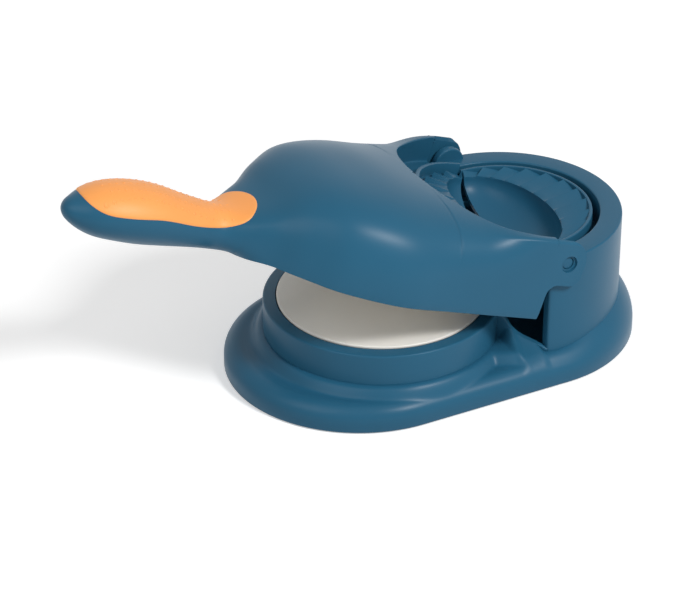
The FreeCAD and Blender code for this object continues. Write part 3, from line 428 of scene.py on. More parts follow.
class Surface:
    """A node material with one shader, which noise over the object's own coordinates can vary."""

    def __init__(self, name, base_colour, roughness):
        self.material = bpy.data.materials.new(name)
        self.material.use_nodes = True
        self.nodes = self.material.node_tree.nodes
        self.links = self.material.node_tree.links
        self.shader = self.nodes["Principled BSDF"]
        self.colour = base_colour
        self.put("Base Color", (*base_colour, 1))
        self.put("Roughness", roughness)

    def put(self, socket, value):
        """Gives one of the shader's own sockets a value."""
        self.shader.inputs[socket].default_value = value

    def noise(self, scale, detail=3):
        """Noise over the object's own coordinates, as a socket."""
        place = add_node(self.nodes, "TexCoord")
        noise = add_node(self.nodes, "TexNoise", {"Scale": scale, "Detail": detail})
        self.links.new(place.outputs["Object"], noise.inputs["Vector"])
        return noise.outputs["Fac"]

    def vary(self, source, low, high):
        """Drives the roughness between two values."""
        spread = add_node(self.nodes, "MapRange", {
            "From Min": NOISE_RANGE[0], "From Max": NOISE_RANGE[1], "To Min": low, "To Max": high,
        })
        self.links.new(source, spread.inputs["Value"])
        self.links.new(spread.outputs["Result"], self.shader.inputs["Roughness"])

    def tint(self, source, shift):
        """Lets the colour drift a little to both sides."""
        ramp = add_node(self.nodes, "ValToRGB")
        for element, place, factor in zip(ramp.color_ramp.elements, NOISE_RANGE, (1 - shift, 1 + shift)):
            element.position = place
            element.color = (*np.clip(np.array(self.colour) * factor, 0, 1), 1)
        self.links.new(source, ramp.inputs["Fac"])
        self.links.new(ramp.outputs["Color"], self.shader.inputs["Base Color"])

    def bump(self, source, strength, distance):
        """Raises a fine grain, with its height in metres."""
        bump = add_node(self.nodes, "Bump", {"Strength": strength, "Distance": distance})
        self.links.new(source, bump.inputs["Height"])
        self.links.new(bump.outputs["Normal"], self.shader.inputs["Normal"])


def body_plastic(name, base_colour, roughness=0.34, grain=0.04):
    """Satin moulded plastic: a faint cloudiness and a very fine moulded grain."""
    surface = Surface(name, base_colour, roughness)
    clouds = surface.noise(24)
    surface.tint(clouds, 0.035)
    surface.vary(clouds, roughness - 0.02, roughness + 0.03)
    surface.bump(surface.noise(2600, 2), grain, 0.0002)
    surface.put("Specular IOR Level", 0.16)
    return surface.material


def disc_plastic(name, base_colour):
    """Pale press disc: smooth, with a hint of cloudiness."""
    surface = Surface(name, base_colour, 0.32)
    surface.tint(surface.noise(40), 0.015)
    fine = surface.noise(900, 2)
    surface.vary(fine, 0.3, 0.36)
    surface.bump(fine, 0.02, 0.0001)
    surface.put("Subsurface Weight", 0.08)
    surface.put("Subsurface Radius", (0.002, 0.0018, 0.0015))
    return surface.material


def soft_grip(name, base_colour):
    """Soft inset: matt, with a fine grain."""
    surface = Surface(name, base_colour, 0.5)
    surface.tint(surface.noise(30), 0.03)
    fine = surface.noise(1800, 2)
    surface.vary(fine, 0.46, 0.54)
    surface.bump(fine, 0.05, 0.0002)
    surface.put("Sheen Weight", 0.12)
    return surface.material


def foot_rubber(name, base_colour):
    """Matt rubber with a coarse grain."""
    surface = Surface(name, base_colour, 0.75)
    fine = surface.noise(700)
    surface.vary(fine, 0.68, 0.82)
    surface.bump(fine, 0.2, 0.0002)
    return surface.material


def zinc_steel(name, base_colour):
    """Zinc plated steel, a little uneven."""
    surface = Surface(name, base_colour, 0.34)
    surface.put("Metallic", 1)
    fine = surface.noise(500)
    surface.vary(fine, 0.26, 0.42)
    surface.bump(fine, 0.05, 0.0001)
    return surface.material


def finish(name):
    """A finish by name, made once."""
    found = bpy.data.materials.get(name)
    if found:
        return found
    colours = bpy.context.scene.maker_colours
    makers = {
        "body plastic": lambda: body_plastic(name, colours.blue),
        "inner plastic": lambda: body_plastic(name, colours.blue, 0.5, 0.08),
        "disc plastic": lambda: disc_plastic(name, colours.cream),
        "soft grip": lambda: soft_grip(name, colours.orange),
        "foot rubber": lambda: foot_rubber(name, colours.rubber),
        "zinc steel": lambda: zinc_steel(name, colours.steel),
    }
    return makers[name]()


# Base
# The foot's top: its side valley, the step at the root of the dish ring and the flare at the rear
VALLEY_DEPTH = 0.5
VALLEY_FROM_EDGE = (4.0, 10.0)
VALLEY_FROM_WALL = (2.5, 6.5)
STEP_WIDTH = 5.6
STEP_HEIGHT = 4.0
STEP_POWER = 1.4
HOUSING_STEP = 0.35
FLARE_LIFT = 1.4
FLARE_RUN = 26.0
FLARE_POWER = 0.5
# Rounded lower edge of the foot: inset and rise over the shell's lowest plane
FOOT_LIP = ((1.4, 0.2), (1.2, 0), (0.5, 0), (0.15, 0.15), (0, 0.5))
# Rows of the foot's top, close together at its outer edge and at the walls
FOOT_HALF = 0.5 * np.linspace(0, 1, 15)**1.5
FOOT_SHARES = np.concatenate([FOOT_HALF[1:], 1 - FOOT_HALF[-2::-1]])
# Edge of the open front: its height from the dish ring to the housing, and how the foot climbs to it
SCOOP_PLACES = (37.5, 39.6, 41.0, 42.6, 44.4, 46.8, 49.1, 51.3, 53.1)
SCOOP_HEIGHTS = (30.6, 27.6, 24.0, 21.0, 19.3, 18.0, 17.0, 16.1, 14.6)
SCOOP_BLEND = 5.0
SCOOP_POWER = 1.6
SCOOP_CLOSE = 0.25
SCOOP_ROUNDING = 0.5
SCOOP_LEAST = 0.05
SCOOP_FLOOR = 5.0
# Inset of the edge's lip, and its drop in shares of the rounding
SCOOP_LIP = ((0.2, 0.3), (0.6, 0), (1.4, 0), (2.0, 0.4), (2.2, 1.6))
# Dish: the disc's play and seat, the ring's ridge, the floor, its wall and the pocket for the disc's ring
DISC_PLAY = 0.4
SEAT_DROP = 3.6
RIDGE_ROOT = 0.5
RIDGE_ROUNDING = 1.1
RIDGE_RISE = 0.3
DISH_FLOOR = 2.6
DISH_WALL = 1.5
POCKET_PLAY = 0.6
POCKET_DEPTH = 0.3
# How far the foot runs into the housing's wall, and how much it rises there
FOOT_OVERLAP = (1.2, 0.4)
# Columns of the three stretches of the foot
DISH_COLUMNS = 64
SCOOP_COLUMNS = 40
HOUSING_COLUMNS = 72
# Housing: its wall below the shelf, its rim over the hinge axis, its corners, its shelf and its lugs
THIN_WALL = 4.6
HOUSING_RISE = 1.2
HOUSING_CORNER = 1.3
HOUSING_POINTS = 121
HOUSING_LEVELS = (20.0, 35.0, 48.0)
SHELF_DROP = 12.0
SHELF_WIDTH = 9.0
SHELF_THICKNESS = 3.0
SHELF_ROOT = 3.0
# Height over which the wall turns from thin to full, and how far under the shelf that ends
SHELF_CHAMFER = (1.0, 2.0)
LUG_RADIUS = 7.3
LUG_DEPTH = 3.4
LUG_INSET = 1.0


def stadium_depth(x, y, base):
    """How far a point lies inside the foot's outline."""
    centre = np.clip(x, -base.foot_front, PIVOT_REACH)
    return base.foot_radius - np.hypot(x - centre, y)


def wall_distance(x, y, base):
    """How far a point lies outside the nearer of the dish ring and the housing."""
    dish = np.hypot(x, y) - base.dish_radius
    housing = np.hypot(x - PIVOT_REACH, y) - base.housing_radius
    return np.minimum(dish, housing)


def rounded_edge(depth, base):
    """Height of the foot's rounded outer edge, at a depth inside its outline."""
    inward = np.clip(depth / base.foot_rounding, 0, 1)
    return base.foot_edge + (base.foot_height - base.foot_edge) * np.sqrt(1 - (1 - inward)**2)


def foot_surface(x, y, base, near_housing):
    """Height of the foot's top between its outer edge and the walls that stand on it."""
    depth = np.clip(stadium_depth(x, y, base), 0, None)
    gap = np.clip(wall_distance(x, y, base), 0, None)
    height = rounded_edge(depth, base)
    # A soft step at the root of the walls
    step = 1 - smoothstep(np.clip(gap / STEP_WIDTH, 0, 1)**STEP_POWER)
    if not near_housing:
        # A shallow valley where the foot is wide
        valley = eased(depth, *VALLEY_FROM_EDGE) * eased(gap, *VALLEY_FROM_WALL)
        return height - VALLEY_DEPTH * valley + STEP_HEIGHT * step
    # Behind the housing the foot climbs in a full flare
    behind = x - PIVOT_REACH + base.housing_front
    climb = np.clip(behind / (base.housing_radius + base.housing_front), 0, 1)
    low = base.foot_height + FLARE_LIFT
    top = low + (base.flare_height - low) * climb
    margin = base.foot_radius - base.housing_radius
    flare = base.foot_edge + (top - base.foot_edge) * np.clip(depth / margin, 0, 1)**FLARE_POWER
    share = smoothstep(behind / FLARE_RUN)
    return (1 - share) * (height + HOUSING_STEP * STEP_HEIGHT * step) + share * flare


def crease_place(base):
    """Where the dish ring ends and the housing's open front begins."""
    start = SCOOP_PLACES[0]
    return start, math.sqrt(base.dish_radius**2 - start**2)


def foot_edge_place(angle, base):
    """Where a line from the press axis meets the foot's front arc or its straight side."""
    cosine, sine = math.cos(angle), math.sin(angle)
    far = -base.foot_front * cosine + math.sqrt(base.foot_radius**2 - (base.foot_front * sine)**2)
    if far * cosine > -base.foot_front:
        far = base.foot_radius / sine
    return far * cosine, far * sine


def base_columns(base):
    """Feet of the walls and the matching places on the foot's edge, for three stretches of a half."""
    crease_x, crease_y = crease_place(base)
    dish_end = math.atan2(crease_y, crease_x)
    housing_end = math.acos(-base.housing_front / base.housing_radius)
    front_x = PIVOT_REACH - base.housing_front
    front_y = base.housing_radius * math.sin(housing_end)

    dish_angles = np.linspace(math.pi, dish_end, DISH_COLUMNS)
    inner = base.dish_radius * np.column_stack([np.cos(dish_angles), np.sin(dish_angles)])
    side_share = np.clip((math.pi / 2 - dish_angles) / (math.pi / 2 - dish_end), 0, 1)
    outer = [
        (crease_x * share, base.foot_radius) if share > 0 else foot_edge_place(angle, base)
        for angle, share in zip(dish_angles, side_share)
    ]
    dish = inner, np.array(outer)

    # The open front runs straight from the dish ring to the housing's end
    crease = np.array((crease_x, crease_y))
    share = np.linspace(0, 1, SCOOP_COLUMNS)
    inner = crease + (np.array((front_x, front_y)) - crease) * share[:, None]
    outer = np.column_stack([inner[:, 0], np.full(len(inner), base.foot_radius)])
    scoop = inner, outer

    angles = np.linspace(housing_end, 0, HOUSING_COLUMNS)
    direction = np.column_stack([np.cos(angles), np.sin(angles)])
    inner = base.housing_radius * direction + (PIVOT_REACH, 0)
    outer = base.foot_radius * direction + (PIVOT_REACH, 0)
    straight = angles > math.pi / 2
    share = (angles[straight] - math.pi / 2) / (housing_end - math.pi / 2)
    outer[straight, 0] = PIVOT_REACH - base.housing_front * share
    outer[straight, 1] = base.foot_radius
    return dish, scoop, (inner, outer)


def foot_rows(inner, outer, base, near_housing):
    """The foot from its lower edge over its crest to the feet of the walls."""
    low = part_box("base_shell")[0].z / MM
    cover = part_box("base_cover")[1].z / MM
    lip = [(FOOT_LIP[0][0], cover)] + [(inset, low + rise) for inset, rise in FOOT_LIP]
    outward = outer - inner
    outward /= np.linalg.norm(outward, axis=1)[:, None]
    rows = []
    for inset, height in lip + [(0, base.foot_edge)]:
        rows.append(level_row(outer - outward * inset, height))
    for share in FOOT_SHARES:
        place = outer + (inner - outer) * share
        rows.append(np.column_stack([place, foot_surface(place[:, 0], place[:, 1], base, near_housing)]))
    return rows


def dish_profile(base):
    """Ring round the lower disc, from its wall over its ridge down to the disc's seat."""
    bore = node_sizes("lower_press_plate").x / 2 + DISC_PLAY
    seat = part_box("lower_press_plate")[1].z / MM - SEAT_DROP
    return softened([
        (base.dish_radius, base.foot_height + STEP_HEIGHT + RIDGE_ROOT, 0),
        (base.dish_radius, base.dish_height, RIDGE_ROUNDING),
        (bore, base.dish_height + RIDGE_RISE, 0.3),
        (bore, seat, 0),
    ], 6)


def scoop_rows(inner, outer, base):
    """The foot's ramp up to the edge of the open front, with the edge's lip and its inner side."""
    dish_side = foot_rows(inner, outer, base, False)
    housing_side = foot_rows(inner, outer, base, True)
    edge = smooth_curve(SCOOP_PLACES, SCOOP_HEIGHTS, inner[:, 0])
    opened = smoothstep((inner[:, 0] - SCOOP_PLACES[0]) / SCOOP_BLEND)
    closed = smoothstep((np.linspace(0, 1, len(inner)) - 1 + SCOOP_CLOSE) / SCOOP_CLOSE)
    rows = dish_side[:-len(FOOT_SHARES)]
    for number, share in enumerate(FOOT_SHARES, len(rows)):
        row = dish_side[number]
        depth = np.clip(stadium_depth(row[:, 0], row[:, 1], base), 0, None)
        ramp = rounded_edge(depth, base) + (edge - base.foot_height) * share**SCOOP_POWER
        height = row[:, 2] + (ramp - row[:, 2]) * opened
        row[:, 2] = height + (housing_side[number][:, 2] - height) * closed
        rows.append(row)
    root = rows[-1][:, 2]
    top = np.maximum(edge, root + SCOOP_LEAST)
    rounding = np.minimum(SCOOP_ROUNDING, (top - root) / 2)
    along = inner[-1] - inner[0]
    inward = np.array((along[1], -along[0])) / np.hypot(*along)
    for share in (0.35, 0.7, 1.0):
        rows.append(np.column_stack([inner, root + (top - rounding - root) * share]))
    for inset, drop in SCOOP_LIP:
        rows.append(np.column_stack([inner + inward * inset, top - drop * rounding]))
    rows.append(level_row(inner + inward * SCOOP_LIP[-1][0], SCOOP_FLOOR))
    return rows


def foot_and_rings(base):
    """Foot, dish ring, open front and the floor under the lower disc, as parts."""
    dish, scoop, housing = base_columns(base)
    # Foot and valley all round, then the dish ring up to the disc's seat
    inner, outer = dish
    rows = foot_rows(inner, outer, base, False)
    unit = inner / base.dish_radius
    for radius, height in dish_profile(base):
        rows.append(level_row(unit * radius, height))
    parts = [grid_part(rows), grid_part(scoop_rows(*scoop, base))]
    # The foot round the housing, which ends a little inside the housing's wall
    inner, outer = housing
    rows = foot_rows(inner, outer, base, True)
    centre = np.array((PIVOT_REACH, 0))
    unit = (inner - centre) / base.housing_radius
    inset, rise = FOOT_OVERLAP
    rows.append(np.column_stack([unit * (base.housing_radius - inset) + centre, rows[-1][:, 2] + rise]))
    parts.append(grid_part(rows))
    parts += [mirrored(part) for part in parts]
    # The dish ring's rear third, inside the housing
    crease_x, crease_y = crease_place(base)
    end = math.degrees(math.atan2(crease_y, crease_x))
    back = dish_profile(base)
    back[0][1] = base.foot_edge
    parts.append(lathe(back, 0, 0, 64, -end, 2 * end))
    # Floor of the dish, with the pocket for the disc's ring, and the floor's underside
    bore, seat = dish_profile(base)[-1]
    pocket = SPIGOT_RADIUS + POCKET_PLAY
    deep = DISC_EDGE_HEIGHT - DISC_THICKNESS - SPIGOT_DEPTH - POCKET_DEPTH
    parts.append(lathe(softened([
        (bore, seat, 0), (pocket, seat, 0.3), (pocket, deep, 0.3), (0, deep, 0),
    ], 3)))
    edge = base.dish_radius - DISH_WALL
    parts.append(lathe(softened([
        (0, deep - DISH_FLOOR, 0), (edge, deep - DISH_FLOOR, 0.5), (edge, base.foot_edge, 0),
    ], 3)))
    return parts


def housing_outline(base, inner, inset=0):
    """Plan of the C-shaped housing, with rounded corners at its open front."""
    front = -base.housing_front - inset
    outer = base.housing_radius - inset
    inner = inner + inset
    rounding = max(0.3, HOUSING_CORNER - inset)
    shares = np.linspace(0, 1, 7)
    outer_y, inner_y = (math.sqrt(radius**2 - (front + rounding)**2) for radius in (outer, inner))
    outer_end, inner_end = (math.atan2(y, front + rounding) for y in (outer_y, inner_y))
    sweep = np.linspace(-outer_end, outer_end, HOUSING_POINTS)
    points = [(outer * math.cos(a), outer * math.sin(a)) for a in sweep]
    corner_y = math.sqrt(outer**2 - front**2)
    upper = bent((front + rounding, outer_y), (front, corner_y), (front, corner_y - rounding), shares[1:])
    corner_y = math.sqrt(inner**2 - front**2)
    upper += bent((front, corner_y + rounding), (front, corner_y), (front + rounding, inner_y), shares[:-1])
    points += upper
    sweep = np.linspace(inner_end, -inner_end, HOUSING_POINTS)
    points += [(inner * math.cos(a), inner * math.sin(a)) for a in sweep]
    points += [(x, -y) for x, y in reversed(upper)]
    return np.array(points) + (PIVOT_REACH, 0)


def housing_wall(base):
    """The C-shaped wall that stands round the mould: thin below its shelf, and with a rounded rim."""
    rim = PIVOT_HEIGHT + HOUSING_RISE
    shelf = PIVOT_HEIGHT - SHELF_DROP - SHELF_CHAMFER[1]
    thin = base.housing_radius - THIN_WALL
    bore = base.housing_bore
    soft = base.edge_rounding
    low, middle, high = HOUSING_LEVELS
    levels = [(height, thin, 0) for height in (base.foot_edge, low, middle, shelf - SHELF_CHAMFER[0])]
    levels += [(height, bore, 0) for height in (shelf, high, rim - soft)]
    for turn in np.linspace(0, math.pi / 2, 7)[1:]:
        levels.append((rim - soft + soft * math.sin(turn), bore, soft * (1 - math.cos(turn))))
    rows = []
    for height, inner, inset in levels:
        plan = housing_outline(base, inner, inset)
        rows.append(level_row(plan, height))
    # The flat rim is a strip between the outer and the inner side of the last level
    points, faces = grid_part(rows, wrap=True)
    count = len(rows[0])
    first = (len(rows) - 1) * count
    corner = (count - 2 * HOUSING_POINTS) // 2
    for n in range(HOUSING_POINTS - 1):
        across = first + count - corner - 1 - n
        faces.append((first + n, first + n + 1, across - 1, across))
    faces.append(tuple(first + n for n in range(HOUSING_POINTS - 1, HOUSING_POINTS + corner + 1)))
    faces.append(tuple(first + n for n in [*range(count - corner - 1, count), 0]))
    return points, faces


def housing_shelf(base):
    """Shelf on which the fixed mould half stands."""
    top = PIVOT_HEIGHT - SHELF_DROP
    bore = base.housing_bore
    ends = math.degrees(math.acos(-base.housing_front / bore))
    profile = softened([
        (bore + SHELF_ROOT, top, 0),
        (bore - SHELF_WIDTH, top, 0.5),
        (bore - SHELF_WIDTH, top - SHELF_THICKNESS, 0.5),
        (bore + SHELF_ROOT, top - SHELF_THICKNESS, 0),
    ])
    return lathe(profile, PIVOT_REACH, 0, 96, -ends, 2 * ends)


def hinge_lug(base, side):
    """Rounded lug on the rim, which holds a hinge pin."""
    outer = base.housing_radius - LUG_INSET
    profile = softened([
        (0, outer - LUG_DEPTH, 0),
        (LUG_RADIUS, outer - LUG_DEPTH, 0.9),
        (LUG_RADIUS, outer, 0.4),
        (0, outer, 0),
    ])
    return lying(lathe(profile, 0, 0, 72), PIVOT_REACH, PIVOT_HEIGHT, side)


class MAKER_OT_base(bpy.types.Operator):
    """Make the base moulding with its foot, dish ring, housing and hinge lugs"""

    bl_idname = "maker.base"
    bl_label = "Base"

    def execute(self, context):
        base = millimetres(context.scene.maker_base)
        add_piece(
            "base_foot_and_dish", foot_and_rings(base), "base", "base_shell", "base_shell", sharp_angle=50,
        )
        parts = [housing_wall(base), housing_shelf(base), hinge_lug(base, 1), hinge_lug(base, -1)]
        add_piece("base_mould_housing", parts, "base", "base_shell", "base_shell", sharp_angle=40)
        return {"FINISHED"}


# Press discs
# The ring on a disc's back is its spigot
SPIGOT_RADIUS = 34.0
SPIGOT_DEPTH = 5.0
SPIGOT_WALL = 2.5
DISC_BOSS_RADIUS = 3.0
DISC_THICKNESS = 2.6
DISC_CROWN = 0.6
DISC_EDGE_HEIGHT = 31.4
DOUGH_GAP = 1.2
DISC_STEP = 1.6
DISC_EDGE = (1.1, 1.5)


def disc_profile(radius, thickness, crown):
    """A press disc from the middle of its face over its rounded edge to its back and its ring."""
    face = [(radius * share, thickness + crown * (1 - share**2), 0) for share in np.linspace(0, 0.97, 12)]
    return softened(face + [
        (radius, thickness, 0.6),
        (radius, thickness - DISC_EDGE[0], 0.2),
        (radius - DISC_STEP, thickness - DISC_EDGE[1], 0.2),
        (radius - DISC_STEP, 0, 0.4),
        (SPIGOT_RADIUS, 0, 0),
        (SPIGOT_RADIUS, -SPIGOT_DEPTH, 0.4),
        (SPIGOT_RADIUS - SPIGOT_WALL, -SPIGOT_DEPTH, 0.4),
        (SPIGOT_RADIUS - SPIGOT_WALL, 0, 0),
        (0, 0, 0),
    ])


class MAKER_OT_discs(bpy.types.Operator):
    """Make the two press discs"""

    bl_idname = "maker.discs"
    bl_label = "Press discs"

    def execute(self, context):
        radius = node_sizes("lower_press_plate").x / 2
        lower = lathe(disc_profile(radius, DISC_THICKNESS, DISC_CROWN), segments=160)
        lower[0][:, 2] += DISC_EDGE_HEIGHT - DISC_THICKNESS
        add_piece(
            "lower_press_disc", [lower], "base", "press_plates", "lower_press_plate", "disc plastic",
        )
        low = DISC_EDGE_HEIGHT - DISC_THICKNESS - SPIGOT_DEPTH
        bosses = [
            post(x, y, DISC_BOSS_RADIUS, low, low + SPIGOT_DEPTH + 0.2)
            for x, y, _ in screw_places("lower_plate_screws", off_base)
        ]
        add_piece(
            "lower_disc_bosses", bosses, "base", "press_plates", "lower_press_plate", "disc plastic",
        )
        upper = lathe(disc_profile(radius, DISC_THICKNESS, 0), segments=160)
        back = DISC_EDGE_HEIGHT + DISC_CROWN + DOUGH_GAP + DISC_THICKNESS
        upper[0][:, 2] = back - upper[0][:, 2]
        add_piece(
            "upper_press_disc", [upper], "press_arm", "press_plates", "upper_press_plate", "disc plastic",
        )
        return {"FINISHED"}


# Press arm
# Handle stations: place as a share of the handle's length from its tip, shares of its half width and
# half thickness, and the shift of its middle as a share of the half thickness
HANDLE_STATIONS = [
    (0.004, 0.13, 0.13, -0.10),
    (0.020, 0.30, 0.30, -0.10),
    (0.045, 0.44, 0.44, -0.10),
    (0.083, 0.62, 0.61, -0.08),
    (0.161, 0.84, 0.84, -0.04),
    (0.250, 0.96, 0.95, 0.00),
    (0.370, 1.00, 1.00, 0.00),
    (0.499, 0.94, 0.95, -0.04),
    (0.600, 0.86, 0.86, -0.11),
    (0.700, 0.785, 0.785, -0.17),
    (0.800, 0.765, 0.75, -0.21),
]
# Dome stations: shares of the dome's length, half width and height, and how square its top is
DOME_STATIONS = [
    (-0.050, 0.345, 0.460, 3.4),
    (0.022, 0.465, 0.600, 3.5),
    (0.065, 0.565, 0.718, 3.4),
    (0.110, 0.652, 0.815, 3.2),
    (0.165, 0.762, 0.895, 3.1),
    (0.235, 0.853, 0.957, 3.0),
    (0.320, 0.930, 0.993, 2.9),
    (0.420, 0.990, 1.012, 2.8),
    (0.540, 1.000, 1.000, 2.95),
    (0.660, 1.000, 0.972, 3.6),
    (0.780, 1.000, 0.955, 4.7),
    (0.900, 1.000, 0.943, 6.5),
    (1.000, 1.000, 0.940, 7.4),
    (1.160, 1.000, 0.940, 8.0),
]
# Widest level and keel of the dome's section as shares of its height, and the keel under the neck
WAIST_SHARE = 0.10
KEEL_SHARE = 0.42
KEEL_SQUARENESS = 3.0
NECK_KEEL = 0.75
TIP_DROP = 0.1
ROUND = 2
# Where the rear of the dome's section turns into a box, and the box's rounding as a share
SQUARE_FROM = 20.0
SQUARE_TO = 54.0
BOX_ROUNDING = 0.045
# The skin's pitch, how far it is evened out, in samples, and from where behind the tip
SKIN_PITCH = 0.25
EVEN_REACH = 14
EVEN_SPREAD = 6
EVEN_FROM = (8.0, 18.0)
TURN_SAMPLES = 400
# Where the lower edge starts to dip behind the dome's front, and how evenly
EDGE_START = 4.0
EDGE_POWER = 2.2
# Ear: its end behind the hinge axis, its top and underside, its rounded end and its hollow corner
EAR_REACH = 8.2
EAR_TOP = 10.15
EAR_UNDER = 10.0
EAR_RADIUS = 10.0
EAR_CORNER = 5.0
EAR_GAP = 0.05
# Recess: its floor under the hinge axis, and where its lip ends in front of the axis
RECESS_DROP = 1.6
LEDGE_END = 9.5
# Spread of the rows along the middle line and the lip, and the rows over which the lip's rounding ends
MIDDLE_START = 0.32
LIP_SPREAD = 0.8
LIP_FADE = 6
# The most that a rounding takes of the recess wall's height, and the least height counted
LIP_SHARE = 0.45
LIP_LEAST = 0.2
FLOOR_BEND = 0.8
BEND_SHARE = 0.4
BEND_LEAST = 0.1
# Points of a row, and how many times denser it is worked out
ROW_POINTS = 100
ROW_DENSITY = 6
# Pins: play in the ear, length inside, how far the end lies behind the arm's face, and the cut round it
PIN_PLAY = 0.08
PIN_INSIDE = 5.6
PIN_END = 1.5
PIN_HOLE_DEPTH = 6.0
PIN_HOLE_EXCESS = 2.0


def arm_stations(arm):
    """Place, half width, waist, rise above it, fall below it and squareness of each section."""
    handle_length = arm.handle_reach - arm.reach
    thick = arm.handle_half_thickness
    stations = [(-arm.handle_reach, 0, arm.handle_height - TIP_DROP * thick, 0, 0, ROUND, ROUND)]
    for place, width, thickness, shift in HANDLE_STATIONS:
        x = place * handle_length - arm.handle_reach
        half = thickness * thick
        waist = arm.handle_height + shift * thick
        stations.append((x, width * arm.handle_half_width, waist, half, half, ROUND, ROUND))
    dome_length = arm.reach + arm.rear
    height = arm.crest - arm.floor
    for place, width, top, squareness in DOME_STATIONS:
        x = place * dome_length - arm.reach
        waist = arm.floor + WAIST_SHARE * height
        keel = waist - KEEL_SHARE * height
        if place < 0:
            waist = (waist + arm.handle_height) / 2
            keel = (arm.floor + arm.handle_height) / 2 - NECK_KEEL * thick
        rise = arm.floor + top * height - waist
        stations.append((
            x, width * arm.half_width, waist, rise, waist - keel, squareness, KEEL_SQUARENESS,
        ))
    return np.array(stations)


def bulged_quarter(share, handle):
    """A quarter of a section as a curve with two handles: how far it has run and what is left."""
    ahead = 1 - share
    run = 3 * ahead**2 * share * handle + 3 * ahead * share**2 + share**3
    left = ahead**3 + 3 * ahead**2 * share + 3 * ahead * share**2 * handle
    return run, left


def box_quarter(share):
    """A quarter of a box with a small rounding, from the middle of its top to its widest level."""
    straight = 1 - BOX_ROUNDING
    run = np.clip(share, 0, 1) * (2 * straight + math.pi / 2 * BOX_ROUNDING)
    bend = np.clip((run - straight) / BOX_ROUNDING, 0, math.pi / 2)
    fall = np.clip(run - straight - math.pi / 2 * BOX_ROUNDING, 0, None)
    across = np.minimum(run, straight) + BOX_ROUNDING * np.sin(bend)
    return across, straight + BOX_ROUNDING * np.cos(bend) - fall


class ArmSkin:
    """The arm's outer skin as a smooth surface over a place along X and a turn round the section."""

    def __init__(self, arm):
        stations = arm_stations(arm)
        places = stations[:, 0]
        fine = np.arange(places[0], places[-1], SKIN_PITCH)
        columns = []
        for n in range(1, 7):
            squared = n in (1, 3, 4)
            values = stations[:, n]**2 if squared else stations[:, n]
            column = smooth_curve(places, values, fine)
            if squared:
                column = np.sqrt(np.clip(column, 0, None))
            columns.append(self.relaxed(column, fine))
        self.fine = fine
        self.columns = columns

    @staticmethod
    def relaxed(column, fine):
        """Evens out small ripples, except close to the tip, where the shape is tight."""
        offsets = np.arange(-EVEN_REACH, EVEN_REACH + 1)
        weights = np.exp(-0.5 * (offsets / EVEN_SPREAD)**2)
        weights /= weights.sum()
        ends = [np.full(EVEN_REACH, value) for value in (column[0], column[-1])]
        even = np.convolve(np.concatenate([ends[0], column, ends[1]]), weights, mode="valid")
        return column + (even - column) * eased(fine - fine[0], *EVEN_FROM)

    def read(self, x):
        """Values of the section at a place along X."""
        return [np.interp(x, self.fine, column) for column in self.columns]

    def at(self, x, turn):
        """Points for turns from 0, the crest, through 1, the widest level, to 2, the keel."""
        width, waist, rise, fall, square, keel_square = self.read(x)
        turn = np.asarray(turn, float)
        upper = turn <= 1
        share = np.where(upper, turn, turn - 1)
        handle = (8 * 0.5**(1 / np.where(upper, square, keel_square)) - 4) / 3
        # The upper quarter runs from the crest to the widest level, the lower one on to the keel
        across_up, level_up = bulged_quarter(share, handle)
        level_down, across_down = bulged_quarter(share, handle)
        # Towards the ears the upper quarter turns into a box with a small rounding
        boxed = eased(x, SQUARE_FROM, SQUARE_TO)
        across_box, level_box = box_quarter(share)
        across_up = across_up + (across_box - across_up) * boxed
        level_up = level_up + (level_box - level_up) * boxed
        y = width * np.where(upper, across_up, across_down)
        z = waist + np.where(upper, rise * level_up, -fall * level_down)
        return np.column_stack([np.broadcast_to(x, y.shape), y, z])

    def turn_at_height(self, x, z):
        """The turn at which the section comes down to a height."""
        turns = np.linspace(0, 2, 2 * TURN_SAMPLES + 1)
        return np.array([
            np.interp(-level, -self.at(np.full(len(turns), place), turns)[:, 2], turns)
            for place, level in zip(np.atleast_1d(x), np.atleast_1d(z))
        ])

    def turn_at_width(self, x, y):
        """The turn above the widest level at which the section reaches a width."""
        turns = np.linspace(0, 1, TURN_SAMPLES + 1)
        return np.array([
            np.interp(width, self.at(np.full(len(turns), place), turns)[:, 1], turns)
            for place, width in zip(np.atleast_1d(x), np.atleast_1d(y))
        ])


def lower_edge(x, arm):
    """Height of the arm's lower edge, which dips under the neck of the handle."""
    neck = (arm.handle_reach - arm.reach) / 5
    front = -arm.reach + EDGE_START
    drop = arm.handle_half_thickness / 2
    share = np.clip((front - x) / (front + arm.reach + neck), 0, 1)
    return arm.floor - drop * share**EDGE_POWER


def ear_outline(arm):
    """Side view of the ear's upper and lower edges, matched point by point along the ear."""
    x, z = PIVOT_REACH, PIVOT_HEIGHT
    end = x + EAR_REACH
    top = z + EAR_TOP
    under = z - EAR_UNDER
    bend = end - EAR_RADIUS
    corner = arm.rear + EAR_CORNER
    # The upright rear edge, the hollow corner over it and the ear's rounded end
    upper = [(v, top) for v in np.linspace(x - LEDGE_END, arm.rear - EAR_GAP, 15)[1:]]
    lower = [(arm.rear, v) for v in np.linspace(arm.floor, under - EAR_CORNER, 15)[1:]]
    lower += arc((corner, under - EAR_CORNER), EAR_CORNER, 180, 90, 12)[1:]
    upper += [(v, top) for v in np.linspace(arm.rear, bend, 12)[1:]]
    upper += arc((bend, top - EAR_RADIUS), EAR_RADIUS, 90, 0, 25)[1:]
    tail = [(v, under) for v in np.linspace(corner, end - EAR_CORNER, 10)]
    tail += arc((end - EAR_CORNER, under + EAR_CORNER), EAR_CORNER, -90, 0, 15)[1:]
    lower += [tuple(point) for point in spread_points(tail, 25)[1:]]
    return np.array(upper), np.array(lower)


